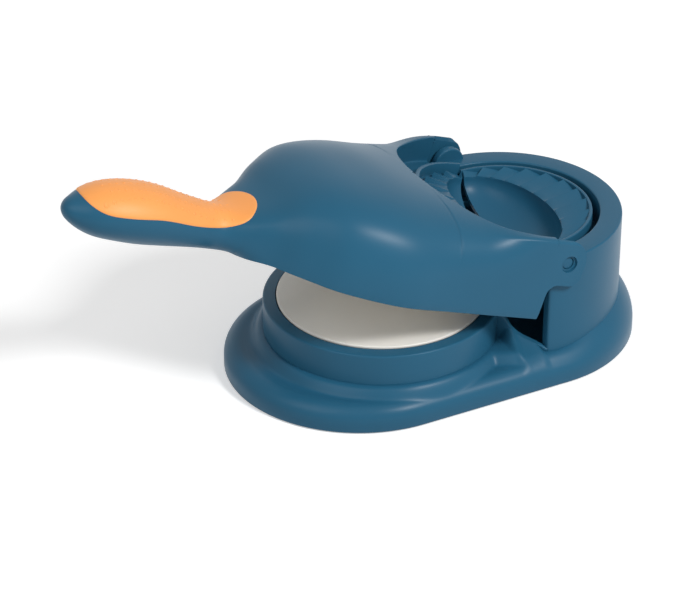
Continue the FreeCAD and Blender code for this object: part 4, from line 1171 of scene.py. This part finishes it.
def arm_sheet(arm, skin):
    """Half of the arm's skin as rows of points, from the handle's tip to the end of the ear.

    Each row runs from the upper boundary (the middle line, the recess lip, then the ear's top) to the
    lower one (the keel line, the lower edge, then the rear edge and the ear's underside)."""
    apex = PIVOT_REACH - arm.recess_radius
    # Along the middle line
    tip = -arm.handle_reach
    reach = apex - tip
    close = np.linspace(0, MIDDLE_START, 24)**2
    shares = np.concatenate([close, np.linspace(MIDDLE_START**2, 1, 128)[1:]])
    x_middle = tip + reach * shares
    edge = lower_edge(x_middle, arm)
    lowest = skin.at(x_middle, np.full(len(x_middle), 2.0))[:, 2]
    turn_low = np.full(len(x_middle), 2.0)
    open_part = lowest < edge
    turn_low[open_part] = skin.turn_at_height(x_middle[open_part], edge[open_part])
    upper = [(x, 0.0) for x in x_middle]
    lower = list(zip(x_middle, turn_low))
    # Along the recess lip
    end_angle = math.acos(LEDGE_END / arm.recess_radius)
    angles = np.linspace(0, end_angle, 60)[1:]
    lip_x = PIVOT_REACH - arm.recess_radius * np.cos(angles)
    lip_turn = skin.turn_at_width(lip_x, arm.recess_radius * np.sin(angles))
    low_x = apex + (arm.rear - apex) * (angles / end_angle)**LIP_SPREAD
    low_turn = skin.turn_at_height(low_x, lower_edge(low_x, arm))
    upper += list(zip(lip_x, lip_turn))
    lower += list(zip(low_x, low_turn))
    lip_rows = (len(x_middle) - 1, len(x_middle) + len(angles))
    # Round the ear
    top, under = ear_outline(arm)
    inner_turn = skin.turn_at_width(top[:, 0], np.full(len(top), arm.recess_radius))
    height_turn = skin.turn_at_height(top[:, 0], top[:, 1])
    upper += list(zip(top[:, 0], np.maximum(inner_turn, height_turn)))
    lower += list(zip(under[:, 0], skin.turn_at_height(under[:, 0], under[:, 1])))
    across = np.linspace(0, 1, (ROW_POINTS - 1) * ROW_DENSITY + 1)
    rows = []
    for (upper_x, upper_turn), (lower_x, lower_turn) in zip(upper, lower):
        x = upper_x + (lower_x - upper_x) * across
        turn = upper_turn + (lower_turn - upper_turn) * across
        rows.append(skin.at(x, turn))
    return rows, lip_rows


def recess_rows(arm, rows, lip_rows):
    """The skin carried over the rounded lip, down the recess wall and in over its floor."""
    first, last = lip_rows
    floor = PIVOT_HEIGHT - RECESS_DROP
    strip = []
    for n, row in enumerate(rows[first:last], start=first):
        edge = row[0]
        outward = edge[:2] - (PIVOT_REACH, 0)
        outward = np.append(outward / np.linalg.norm(outward), 0)
        slope = row[3 * ROW_DENSITY] - row[0]
        slope = slope / np.linalg.norm(slope)
        corner = np.array((PIVOT_REACH, 0, edge[2])) + outward * arm.recess_radius
        reach = min(arm.lip_rounding, LIP_SHARE * max(edge[2] - floor, LIP_LEAST))
        reach *= smoothstep((last - 1 - n) / LIP_FADE)
        end = corner - (0, 0, reach)
        points = bent(corner + slope * reach, corner, end, np.linspace(0, 1, 7))
        low = np.array((end[0], end[1], floor))
        inner = np.array((PIVOT_REACH, 0, floor)) + outward * arm.recess_hole
        bend = min(FLOOR_BEND, BEND_SHARE * max(end[2] - floor, BEND_LEAST))
        above = low + (0, 0, bend)
        beside = low - outward * bend
        points += [end + (above - end) * share for share in np.linspace(0.15, 0.85, 4)]
        points += bent(above, low, beside, np.linspace(0, 1, 5))
        points += [beside + (inner - beside) * share for share in np.linspace(0.2, 1, 5)]
        strip.append(np.array(points))
    return strip


def pin_hole(arm, side):
    """What is cut out of an ear: the hole for a pin's end, with the round recess over it."""
    face = arm.half_width
    bore = arm.pin_radius + PIN_PLAY
    bottom = face - arm.pin_recess_depth
    inner, outer = face - PIN_HOLE_DEPTH, face + PIN_HOLE_EXCESS
    profile = np.array([
        (0, inner), (bore, inner), (bore, bottom), (arm.pin_recess, bottom), (arm.pin_recess, outer),
        (0, outer),
    ])
    hole = lying(lathe(profile, 0, 0, 64), PIVOT_REACH, PIVOT_HEIGHT, side)
    return make_piece("pin_hole", [hole], on_arm, finish("body plastic"))


class MAKER_OT_arm(bpy.types.Operator):
    """Make the press arm: handle, dome, recess and ears in one wall"""

    bl_idname = "maker.arm"
    bl_label = "Press arm"

    def execute(self, context):
        arm = millimetres(context.scene.maker_arm)
        skin = ArmSkin(arm)
        rows, lip_rows = arm_sheet(arm, skin)
        strip = recess_rows(arm, rows, lip_rows)
        sheet = [row[::ROW_DENSITY] for row in rows]
        for n, points in enumerate(strip, start=lip_rows[0]):
            # The skin's own row starts where the lip's rounding ends
            far = np.linalg.norm(rows[n] - rows[n][0], axis=1)
            kept = rows[n][far > np.linalg.norm(points[0] - rows[n][0])]
            sheet[n] = spread_points(np.vstack([points[0], kept]), ROW_POINTS)
        half = grid_part(sheet)
        recess = grid_part(strip)
        parts = [half, recess, mirrored(half), mirrored(recess)]
        piece = make_piece("press_arm_wall", parts, on_arm, finish("body plastic"), 42, weld=0.002)
        solid = piece.modifiers.new("wall", "SOLIDIFY")
        solid.thickness = arm.wall * MM
        solid.offset = -1
        solid.use_even_offset = False
        for side in (1, -1):
            piece = carve(piece, pin_hole(arm, side), 42)
        dress(piece, "press_arm", "press_arm_shell", "press_arm_shell")
        return {"FINISHED"}


class MAKER_OT_pins(bpy.types.Operator):
    """Make the two pins on which the arm turns"""

    bl_idname = "maker.pins"
    bl_label = "Hinge pins"

    def execute(self, context):
        arm = millimetres(context.scene.maker_arm)
        outer = arm.half_width - PIN_END
        profile = softened([
            (0, outer - PIN_INSIDE, 0), (arm.pin_radius, outer - PIN_INSIDE, 0.4),
            (arm.pin_radius, outer, 0.5), (0, outer, 0),
        ])
        for side, name in ((-1, "near"), (1, "far")):
            pin = lying(lathe(profile, 0, 0, 64), PIVOT_REACH, PIVOT_HEIGHT, side)
            add_piece("hinge_pin_end_" + name, [pin], "base", "hinge_pins", "hinge_pin_" + name)
        return {"FINISHED"}


# Grip
# The grip's edge on the handle: share of the handle's length from its tip, turn round the section
GRIP_EDGE = [
    (0.066, 0.0), (0.069, 0.2), (0.0795, 0.43), (0.108, 0.66), (0.154, 0.80), (0.218, 0.85),
    (0.31, 0.85), (0.419, 0.82), (0.535, 0.82), (0.656, 0.815), (0.759, 0.76), (0.823, 0.68),
    (0.886, 0.50), (0.938, 0.24), (0.965, 0.1), (0.974, 0.0),
]
# Grip: its rows and columns, how far its middle line stays from its ends, how proud it stands, how deep
# it sinks, its edge's rounding and its thickness
GRIP_COLUMNS = 240
GRIP_ROWS = 40
GRIP_SPREAD = 1.7
GRIP_END = 5.0
GRIP_RISE = 0.7
GRIP_SINK = 0.35
GRIP_ROUNDING = 1.1
GRIP_THICKNESS = 1.4
# Rows of raised dots, in the same measures
DOT_ROWS = [
    [(0.166, 0.0), (0.88, 0.0)],
    [(0.172, 0.25), (0.247, 0.22), (0.356, 0.22), (0.575, 0.25), (0.725, 0.28), (0.80, 0.25), (0.85, 0.20)],
    [(0.154, 0.58), (0.183, 0.52), (0.212, 0.48), (0.247, 0.45), (0.494, 0.45), (0.563, 0.48),
     (0.638, 0.52), (0.707, 0.55), (0.782, 0.52), (0.857, 0.45)],
]
DOT_PITCH = 3.1
DOT_PROFILE = [(0.62, -0.1), (0.58, 0.03), (0.44, 0.14), (0.24, 0.2), (0, 0.22)]
RING_PROFILE = [(1.2, -0.1), (1.08, 0.1), (0.9, 0.17), (0.72, 0.1), (0.5, -0.05), (0, -0.1)]
# The outer row, counted from 0, which starts with rings of these sizes
RING_ROW = 2
RING_SIZES = (1.0, 0.85, 0.7, 0.6)
# Steps along the skin and round it, over which its direction is measured
PLACE_STEP = 0.1
TURN_STEP = 0.01


def skin_frame(skin, x, turn):
    """Points of the skin, the direction along it and the direction that stands square on it."""
    x = np.asarray(x, float)
    turn = np.asarray(turn, float)
    along = skin.at(x + PLACE_STEP, turn) - skin.at(x - PLACE_STEP, turn)
    around = skin.at(x, turn + TURN_STEP) - skin.at(x, turn - TURN_STEP)
    out = np.cross(along, around)
    out /= np.linalg.norm(out, axis=1)[:, None]
    along /= np.linalg.norm(along, axis=1)[:, None]
    return skin.at(x, turn), along, out


def grip_outline(arm):
    """The grip's edge from the handle's tip to its neck, on one side."""
    length = arm.handle_reach - arm.reach
    edge = np.array(GRIP_EDGE)
    points = np.vstack([edge[2:0:-1] * (1, -1), edge, edge[-2:-4:-1] * (1, -1)])
    points[:, 0] = points[:, 0] * length - arm.handle_reach
    steps = np.hypot(np.diff(points[:, 0]), np.diff(points[:, 1]) * arm.handle_half_width)
    run = np.concatenate([[0], np.cumsum(steps)])
    wanted = np.linspace(run[2], run[-3], GRIP_COLUMNS)
    turn = np.clip(smooth_curve(run, points[:, 1], wanted), 0, None)
    turn[0] = turn[-1] = 0
    return smooth_curve(run, points[:, 0], wanted), turn


def grip_half(arm, skin):
    """Half of the grip: its edge sinks into the arm, and its face stands a little proud."""
    edge_x, edge_turn = grip_outline(arm)
    first, last = edge_x[0], edge_x[-1]
    middle_x = first + GRIP_END + (edge_x - first) * (last - first - 2 * GRIP_END) / (last - first)
    edge = skin.at(edge_x, edge_turn)
    rows = []
    for share in np.linspace(0, 1, GRIP_ROWS)**GRIP_SPREAD:
        x = edge_x + (middle_x - edge_x) * share
        place, _, out = skin_frame(skin, x, edge_turn * (1 - share))
        gap = np.clip(np.linalg.norm(place - edge, axis=1) / GRIP_ROUNDING, 0, 1)
        rise = GRIP_RISE * np.sqrt(1 - (1 - gap)**2) - GRIP_SINK
        points = place + out * rise[:, None]
        if share == 1:
            points[:, 1] = 0
        points[[0, -1], 1] = 0
        rows.append(points)
    return grid_part(rows)


def grip_dots(arm, skin):
    """Rows of small raised dots, the first ones of the outer rows as rings."""
    length = arm.handle_reach - arm.reach
    parts = []
    for number, row in enumerate(DOT_ROWS):
        line = np.array(row)
        x = line[:, 0] * length - arm.handle_reach
        run = x[-1] - x[0]
        places = x[0] + np.arange(0, run, DOT_PITCH) + DOT_PITCH / 2 * (number % 2)
        turns = smooth_curve(x, line[:, 1], places) if len(line) > 2 else np.zeros(len(places))
        for side in (1, -1):
            if number == 0 and side < 0:
                continue
            place, along, out = skin_frame(skin, places, turns)
            beside = np.cross(out, along)
            for n in range(len(places)):
                ring = number == RING_ROW and n < len(RING_SIZES)
                size = RING_SIZES[n] if ring else 1
                shape = np.array(RING_PROFILE if ring else DOT_PROFILE) * size
                points, faces = lathe(shape, 0, 0, 20 if ring else 12)
                across, away, height = points.T[:, :, None]
                moved = place[n] + across * along[n] + away * beside[n]
                moved += (height + GRIP_RISE - GRIP_SINK) * out[n]
                parts.append((moved * (1, side, 1), faces))
    return parts


class MAKER_OT_grip(bpy.types.Operator):
    """Make the soft inset on the handle, with its rows of dots"""

    bl_idname = "maker.grip"
    bl_label = "Grip"

    def execute(self, context):
        arm = millimetres(context.scene.maker_arm)
        skin = ArmSkin(arm)
        half = grip_half(arm, skin)
        piece = add_piece(
            "grip_inset", [half, mirrored(half)], "press_arm", "handle_grip", "handle_grip",
            "soft grip", sharp_angle=60, weld=0.01,
        )
        solid = piece.modifiers.new("thickness", "SOLIDIFY")
        solid.thickness = GRIP_THICKNESS * MM
        solid.offset = -1
        add_piece(
            "grip_dots", grip_dots(arm, skin), "press_arm", "handle_grip", "handle_grip",
            "soft grip", sharp_angle=60, weld=0.001,
        )
        return {"FINISHED"}


# Mould halves
# Pleats of a half: their number, where in a pleat its crest and its columns lie, how high they are at the
# bowl, and how far towards the fixed ring they and their rows reach
PLEATS = 12
PLEAT_CREST = 0.94
PLEAT_STEPS = (0, 0.15, 0.3, 0.45, 0.6, 0.75, 0.87, PLEAT_CREST, 0.97)
PLEAT_FADE = 0.15
PLEAT_STOP = 0.97
PLEAT_ROWS = (0.03, 0.2, 0.4, 0.6, 0.8, PLEAT_STOP)
# Half the gap between the halves, the land under the hinge axis, the roundings of ring and skirt
CUT_GAP = 0.2
LAND_DROP = 1.5
RING_ROUNDING = 0.4
RING_CORNER = 0.12
SKIRT_CORNER = 0.3
# Screw tabs and the skirt of the moving half, screw bosses of the fixed half
TAB_RADIUS = 3.8
TAB_ROOT = 6.5
TAB_THICKNESS = 3.6
MOVING_SKIRT = 8.0
FIXED_BOSS_RADIUS = 3.1
BOSS_DROP = 2.0
BOSS_GAP = 0.05


def pleat_angles():
    """Angles round a mould half, close together where a pleat drops."""
    steps = [n + step for n in range(PLEATS) for step in PLEAT_STEPS]
    return np.array([step * 180 / PLEATS - 90 for step in steps] + [90.0])


def pleat_share(angles, falling):
    """Height of the pleats, which climb slowly and drop at once. The other half has the match."""
    share = (angles + 90) / 180 * PLEATS
    share = share - np.floor(share)
    saw = np.where(share < PLEAT_CREST, share / PLEAT_CREST, (1 - share) / (1 - PLEAT_CREST))
    return 1 - saw if falling else saw


def closed_sheets(upper, lower):
    """A closed part between two sheets of equal rows, whose first rows are a single point each."""
    rows, columns = len(upper), len(upper[0])
    faces = grid_faces(rows, columns)
    shift = rows * columns
    faces += [tuple(n + shift for n in reversed(face)) for face in faces]
    sides = [[row * columns + column for row in range(rows)] for column in (0, columns - 1)]
    sides.append([(rows - 1) * columns + column for column in range(columns)])
    for line in sides:
        for first, second in zip(line, line[1:]):
            faces.append((first, second, second + shift, first + shift))
    return np.vstack(upper + lower), faces


def mould_half(mould, bore, outer, top, skirt, side):
    """Half a mould: the bowl, the pleated land round it, the ring and its skirt, all as one closed part."""
    angles = pleat_angles()
    cosine, sine = np.cos(np.radians(angles)), np.sin(np.radians(angles))
    saw = pleat_share(angles, side < 0)
    wall = mould.bowl_wall
    under_land = -LAND_DROP - mould.land_thickness

    def level(across, along, height):
        x = PIVOT_REACH + side * (across * np.clip(cosine, 0, None) + CUT_GAP)
        return np.column_stack([x, along * sine, PIVOT_HEIGHT + np.broadcast_to(height, x.shape)])

    upper, lower = [], []
    for swing in np.radians(np.linspace(0, 90, 24)):
        reach, drop = math.sin(swing), math.cos(swing)
        upper.append(level(mould.bowl_reach * reach, mould.bowl_half_length * reach,
                           -LAND_DROP - mould.bowl_depth * drop))
        lower.append(level((mould.bowl_reach + wall) * reach, (mould.bowl_half_length + wall) * reach,
                           min(-LAND_DROP - (mould.bowl_depth + wall) * drop, under_land)))
    # Both halves' pleats have the same plan, and those of the moving half stop short of the fixed ring
    inside = outer - wall
    moving = bore > mould.fixed_bore
    for share in PLEAT_ROWS if moving else (*PLEAT_ROWS, 1.0):
        across = mould.bowl_reach + (mould.fixed_bore - mould.bowl_reach) * share
        along = mould.bowl_half_length + (mould.fixed_bore - mould.bowl_half_length) * share
        height = -LAND_DROP + mould.tooth_height * saw * (PLEAT_FADE + (1 - PLEAT_FADE) * share)
        upper.append(level(across, along, height))
        thick = wall * (1 - share)
        lower.append(level(min(across + thick, inside), min(along + thick, inside), under_land))
    if moving:
        upper.append(level(across, along, -LAND_DROP))
        lower.append(lower[-1])
        upper.append(level(bore, bore, -LAND_DROP))
        lower.append(level(inside, inside, under_land))
    soft, near = RING_ROUNDING, RING_CORNER
    for across, height in (
        (bore, top - soft), (bore + near, top - near), (bore + soft, top), (outer - soft, top),
        (outer - near, top - near), (outer, top - soft), (outer, (top + skirt) / 2),
        (outer, skirt + SKIRT_CORNER), (outer - SKIRT_CORNER, skirt),
    ):
        upper.append(level(across, across, height))
        low = skirt if height == skirt else under_land
        lower.append(level(outer - wall, outer - wall, low))
    return closed_sheets(upper, lower)


def mould_tab(angle, reach, side):
    """A screw tab on the skirt of the moving half."""
    direction = np.array((side * math.cos(angle), math.sin(angle)))
    across = np.array((-direction[1], direction[0]))
    middle = direction * reach + (PIVOT_REACH, 0)
    root = direction * (reach - TAB_ROOT) + (PIVOT_REACH, 0)
    outline = [
        middle + direction * TAB_RADIUS * math.cos(a) + across * TAB_RADIUS * math.sin(a)
        for a in np.radians(np.linspace(-90, 90, 17))
    ]
    outline += [root + across * TAB_RADIUS, root - across * TAB_RADIUS]
    low = PIVOT_HEIGHT - MOVING_SKIRT
    return prism(outline, low, low + TAB_THICKNESS)


class MAKER_OT_moulds(bpy.types.Operator):
    """Make the fixed and the moving mould half with their pleats"""

    bl_idname = "maker.moulds"
    bl_label = "Mould halves"

    def execute(self, context):
        mould = millimetres(context.scene.maker_mould)
        parts = [mould_half(mould, mould.fixed_bore, mould.fixed_ring, mould.fixed_rise, -SHELF_DROP, 1)]
        low, high = PIVOT_HEIGHT - SHELF_DROP + BOSS_GAP, PIVOT_HEIGHT - LAND_DROP - BOSS_DROP
        for x, y, _ in screw_places("fixed_mould_screws", off_base):
            parts.append(post(x, y, FIXED_BOSS_RADIUS, low, high))
        add_piece(
            "fixed_mould_bowl", parts, "base", "mould_halves", "fixed_mould_half",
            sharp_angle=30, weld=0.005,
        )
        parts = [mould_half(
            mould, mould.moving_bore, mould.moving_ring, mould.moving_rise, -MOVING_SKIRT, -1,
        )]
        for x, y, _ in screw_places("moving_mould_screws", off_arm):
            angle = math.atan2(y, PIVOT_REACH - x)
            parts.append(mould_tab(angle, math.hypot(x - PIVOT_REACH, y), -1))
        add_piece(
            "moving_mould_bowl", parts, "press_arm", "mould_halves", "moving_mould_half",
            sharp_angle=30, weld=0.005,
        )
        return {"FINISHED"}


# Screws
SCREW_HEAD_RADIUS = 2.6
SCREW_HEAD_HEIGHT = 1.5
SCREW_LENGTH = 6.0
SCREW_RADIUS = 1.4
# Points of one screw lie within this many head radii of each other
SCREW_SPREAD = 2.2
# Thread: where it starts and ends, its pitch, and whether a turn's points lie on the crest or the root
THREAD_START = 0.3
THREAD_END = 0.6
THREAD_PITCH = 0.9
THREAD_TURN = ((False, 0), (True, 0.35), (True, 0.45), (False, 0.8))
SLOT_HALF_LENGTH = 1.45
SLOT_HALF_WIDTH = 0.3
# Turn between one screw and the next, in degrees
SCREW_SWING = 37
SCREW_GROUPS = (
    ("base_cover_screws", "base"), ("lower_plate_screws", "base"), ("fixed_mould_screws", "base"),
    ("moving_mould_screws", "press_arm"), ("plate_carrier_screws", "press_arm"),
)


def screw_places(node, back):
    """Place of each screw of a CAD group: its axis in plan and the plane under its head."""
    points = back(np.array([vertex.co for vertex in frame["nodes"][node].data.vertices]))
    places = []
    while len(points):
        gaps = np.hypot(points[:, 0] - points[0, 0], points[:, 1] - points[0, 1])
        near = gaps < SCREW_SPREAD * SCREW_HEAD_RADIUS
        low, high = points[near].min(axis=0), points[near].max(axis=0)
        places.append(((low[0] + high[0]) / 2, (low[1] + high[1]) / 2, low[2] + SCREW_HEAD_HEIGHT))
        points = points[~near]
    return places


def screw_shape():
    """A pan-head screw with a cross recess, head down, its thread upwards."""
    radius, height = SCREW_HEAD_RADIUS, SCREW_HEAD_HEIGHT
    root = 0.78 * SCREW_RADIUS
    profile = [
        (0, -height), (0.5 * radius, -0.98 * height), (0.78 * radius, -0.86 * height),
        (0.94 * radius, -0.6 * height), (radius, -0.3 * height), (radius, -0.07), (0.97 * radius, 0),
        (root, 0),
    ]
    for turn in np.arange(THREAD_START, SCREW_LENGTH - THREAD_END, THREAD_PITCH):
        profile += [(SCREW_RADIUS if crest else root, turn + rise) for crest, rise in THREAD_TURN]
    profile += [(0.7 * root, SCREW_LENGTH), (0, SCREW_LENGTH)]
    steel = finish("zinc steel")
    screw = make_piece("screw", [lathe(profile, 0, 0, 40)], np.asarray, steel, 30, weld=0.5)
    for across, along in ((SLOT_HALF_LENGTH, SLOT_HALF_WIDTH), (SLOT_HALF_WIDTH, SLOT_HALF_LENGTH)):
        outline = [(-across, -along), (across, -along), (across, along), (-across, along)]
        cutter = prism(outline, -2 * height, -0.45 * height)
        slot = make_piece("slot", [cutter], np.asarray, steel, 30, weld=0.5)
        screw = carve(screw, slot, 30)
    points = np.array([vertex.co for vertex in screw.data.vertices])
    faces = [tuple(face.vertices) for face in screw.data.polygons]
    bpy.data.objects.remove(screw)
    return points, faces


class MAKER_OT_screws(bpy.types.Operator):
    """Make every group of screws from one pan-head screw"""

    bl_idname = "maker.screws"
    bl_label = "Screws"

    def execute(self, context):
        shape, faces = screw_shape()
        for node, body in SCREW_GROUPS:
            back = off_base if body == "base" else off_arm
            parts = []
            for n, (x, y, head) in enumerate(screw_places(node, back)):
                swing = math.radians(SCREW_SWING * (n + 1))
                cosine, sine = math.cos(swing), math.sin(swing)
                turned = np.column_stack([
                    shape[:, 0] * cosine - shape[:, 1] * sine, shape[:, 0] * sine + shape[:, 1] * cosine,
                    shape[:, 2],
                ])
                parts.append((turned + (x, y, head), faces))
            add_piece("zinc_" + node, parts, body, "screws", node, "zinc steel", 30, weld=0.001)
        return {"FINISHED"}


# Pieces that keep their CAD shape
KEPT_NODES = (
    ("base_cover", "inner plastic"), ("plate_carrier", "inner plastic"),
    *((f"foot_pad_{n}", "foot rubber") for n in range(1, 5)),
)
WELD_DISTANCE = 0.01 * MM
BEVEL_WIDTH = 0.3 * MM
BEVEL_ANGLE = math.radians(50)


class MAKER_OT_underside(bpy.types.Operator):
    """Finish the cover, the feet and the disc carrier, which keep their CAD shape"""

    bl_idname = "maker.underside"
    bl_label = "Cover, feet and carrier"

    def execute(self, context):
        for node, finish_name in KEPT_NODES:
            piece = frame["nodes"][node]
            for place in piece.material_slots:
                place.material = finish(finish_name)
            weld = piece.modifiers.new("weld", "WELD")
            weld.merge_threshold = WELD_DISTANCE
            bevel = piece.modifiers.new("soft edges", "BEVEL")
            bevel.width = BEVEL_WIDTH
            bevel.segments = 2
            bevel.limit_method = "ANGLE"
            bevel.angle_limit = BEVEL_ANGLE
            bevel.harden_normals = True
        return {"FINISHED"}


# Stage
KEY_DIRECTION = Vector((0.281, -0.662, 0.695))
FILL_DIRECTION = Vector((-0.66, -0.24, 0.71))
LIGHT_TARGET = Vector((0, 0, 0.04))
CAMERA_TARGET = Vector((PRESS_X - 15.1 * MM, 0, 31.5 * MM))
SENSOR_WIDTH = 36
FLOOR_REACH = 3.0
# What the floor adds for the camera: near the part, far away, and over which distances it grows
FLOOR_LIFT = 0.38
FAR_FLOOR_LIFT = 0.9
FAR_FLOOR = (0.2, 0.7)


class StageSettings(bpy.types.PropertyGroup):
    """Camera and light"""

    camera_azimuth: number(
        "Camera azimuth", "Turn of the camera round the part", math.radians(-27.9), subtype="ANGLE",
    )
    camera_elevation: number(
        "Camera elevation", "Camera above the horizon", math.radians(30.8), subtype="ANGLE",
    )
    camera_distance: length("Camera distance", "Camera to the point it looks at", 1.2)
    camera_lens: number("Lens", "Focal length on a 36 mm sensor", 144.7, min=1)
    key_watts: number("Key light", "Power of the key light one metre away", 6.6, min=0, unit="POWER")
    key_size: length("Key size", "Side of the square key light", 0.2)
    fill_watts: number(
        "Fill light", "Power of the soft light at the handle's side", 2.5, min=0, unit="POWER",
    )
    fill_size: length("Fill size", "Side of the square fill light", 0.6)
    sky_strength: number("Surround light", "Strength of the even light from all sides", 0.28, min=0)


def seen_rays(nodes, links):
    """One for rays from the camera and for those that a shiny or clear surface sends on."""
    path = add_node(nodes, "LightPath")
    total = path.outputs["Is Camera Ray"]
    for name in ("Is Glossy Ray", "Is Transmission Ray"):
        add = add_node(nodes, "Math")
        add.operation = "ADD"
        add.use_clamp = True
        links.new(total, add.inputs[0])
        links.new(path.outputs[name], add.inputs[1])
        total = add.outputs["Value"]
    return total


def white_surround(scene, strength):
    """Even light from all sides, which looks white to the camera whatever its strength."""
    world = bpy.data.worlds.new("studio")
    scene.world = world
    world.use_nodes = True
    nodes, links = world.node_tree.nodes, world.node_tree.links
    light = nodes["Background"]
    light.inputs["Color"].default_value = (1, 1, 1, 1)
    light.inputs["Strength"].default_value = strength
    seen = add_node(nodes, "Background", {"Color": (1, 1, 1, 1), "Strength": 1})
    mix = add_node(nodes, "MixShader")
    links.new(seen_rays(nodes, links), mix.inputs["Fac"])
    links.new(light.outputs["Background"], mix.inputs[1])
    links.new(seen.outputs["Background"], mix.inputs[2])
    links.new(mix.outputs["Shader"], nodes["World Output"].inputs["Surface"])


def floor_material():
    """Pale floor that looks white to the camera and still takes the part's shadow."""
    surface = Surface("pale floor", (0.9, 0.9, 0.9), 0.9)
    surface.put("Specular IOR Level", 0)
    nodes, links = surface.nodes, surface.links
    place = add_node(nodes, "TexCoord")
    distance = add_node(nodes, "VectorMath")
    distance.operation = "LENGTH"
    links.new(place.outputs["Object"], distance.inputs[0])
    share = add_node(nodes, "MapRange", {
        "From Min": FAR_FLOOR[0], "From Max": FAR_FLOOR[1],
        "To Min": FLOOR_LIFT, "To Max": FAR_FLOOR_LIFT,
    })
    share.interpolation_type = "SMOOTHSTEP"
    links.new(distance.outputs["Value"], share.inputs["Value"])
    strength = add_node(nodes, "Math")
    strength.operation = "MULTIPLY"
    links.new(seen_rays(nodes, links), strength.inputs[0])
    links.new(share.outputs["Result"], strength.inputs[1])
    lift = add_node(nodes, "Emission")
    links.new(strength.outputs["Value"], lift.inputs["Strength"])
    total = add_node(nodes, "AddShader")
    links.new(surface.shader.outputs["BSDF"], total.inputs[0])
    links.new(lift.outputs["Emission"], total.inputs[1])
    links.new(total.outputs["Shader"], nodes["Material Output"].inputs["Surface"])
    return surface.material


def area_light(name, direction, size, watts):
    """A square light one metre away, turned towards the part."""
    data = bpy.data.lights.new(name, "AREA")
    data.size = size
    data.energy = watts
    lamp = bpy.data.objects.new(name, data)
    lamp.location = LIGHT_TARGET + direction.normalized()
    lamp.rotation_euler = (-direction).to_track_quat("-Z", "Y").to_euler()
    bpy.context.scene.collection.objects.link(lamp)


class MAKER_OT_stage(bpy.types.Operator):
    """Make the floor, the light and the camera"""

    bl_idname = "maker.stage"
    bl_label = "Stage"

    def execute(self, context):
        scene = context.scene
        settings = scene.maker_stage
        scene.view_settings.view_transform = "Standard"
        white_surround(scene, settings.sky_strength)

        floor_mesh = bpy.data.meshes.new("floor")
        corners = [(x * FLOOR_REACH, y * FLOOR_REACH, 0) for x, y in ((-1, -1), (1, -1), (1, 1), (-1, 1))]
        floor_mesh.from_pydata(corners, [], [(0, 1, 2, 3)])
        floor_mesh.materials.append(floor_material())
        floor = bpy.data.objects.new("floor", floor_mesh)
        scene.collection.objects.link(floor)

        area_light("key", KEY_DIRECTION, settings.key_size, settings.key_watts)
        area_light("fill", FILL_DIRECTION, settings.fill_size, settings.fill_watts)

        camera_data = bpy.data.cameras.new("camera")
        camera_data.lens = settings.camera_lens
        camera_data.sensor_width = SENSOR_WIDTH
        camera_data.clip_start = 0.01
        camera = bpy.data.objects.new("camera", camera_data)
        scene.collection.objects.link(camera)
        azimuth = settings.camera_azimuth
        elevation = settings.camera_elevation
        towards = Vector((
            math.sin(azimuth) * math.cos(elevation),
            -math.cos(azimuth) * math.cos(elevation),
            math.sin(elevation),
        ))
        camera.location = CAMERA_TARGET + towards * settings.camera_distance
        camera.rotation_euler = (-towards).to_track_quat("-Z", "Y").to_euler()
        scene.camera = camera
        return {"FINISHED"}


class MAKER_PT_panel(bpy.types.Panel):
    """Sizes and makers of the dumpling maker"""

    bl_idname = "MAKER_PT_panel"
    bl_label = "Dumpling maker"
    bl_space_type = "VIEW_3D"
    bl_region_type = "UI"
    bl_category = "Dumpling maker"

    def draw(self, context):
        for maker in MAKERS:
            self.layout.operator("maker." + maker)
        for group in GROUPS:
            box = self.layout.box()
            settings = getattr(context.scene, group)
            for key in settings.__annotations__:
                box.prop(settings, key)


MAKERS = ("stage", "base", "discs", "arm", "pins", "grip", "moulds", "screws", "underside")
GROUPS = {
    "maker_base": BaseSizes,
    "maker_arm": ArmSizes,
    "maker_mould": MouldSizes,
    "maker_colours": FinishColours,
    "maker_stage": StageSettings,
}
CLASSES = (
    BaseSizes, ArmSizes, MouldSizes, FinishColours, StageSettings,
    MAKER_OT_stage, MAKER_OT_base, MAKER_OT_discs, MAKER_OT_arm, MAKER_OT_pins, MAKER_OT_grip,
    MAKER_OT_moulds, MAKER_OT_screws, MAKER_OT_underside, MAKER_PT_panel,
)


def register():
    """Makes the operators, the panel and the settings known to Blender."""
    for item in CLASSES:
        bpy.utils.register_class(item)
    for name, group in GROUPS.items():
        setattr(bpy.types.Scene, name, bpy.props.PointerProperty(type=group))


def unregister():
    """Takes them away again."""
    for name in GROUPS:
        delattr(bpy.types.Scene, name)
    for item in reversed(CLASSES):
        bpy.utils.unregister_class(item)


def main():
    """Builds every piece and the stage."""
    register()
    for name in MAKERS:
        getattr(bpy.ops.maker, name)()


if __name__ == "__main__":
    main()
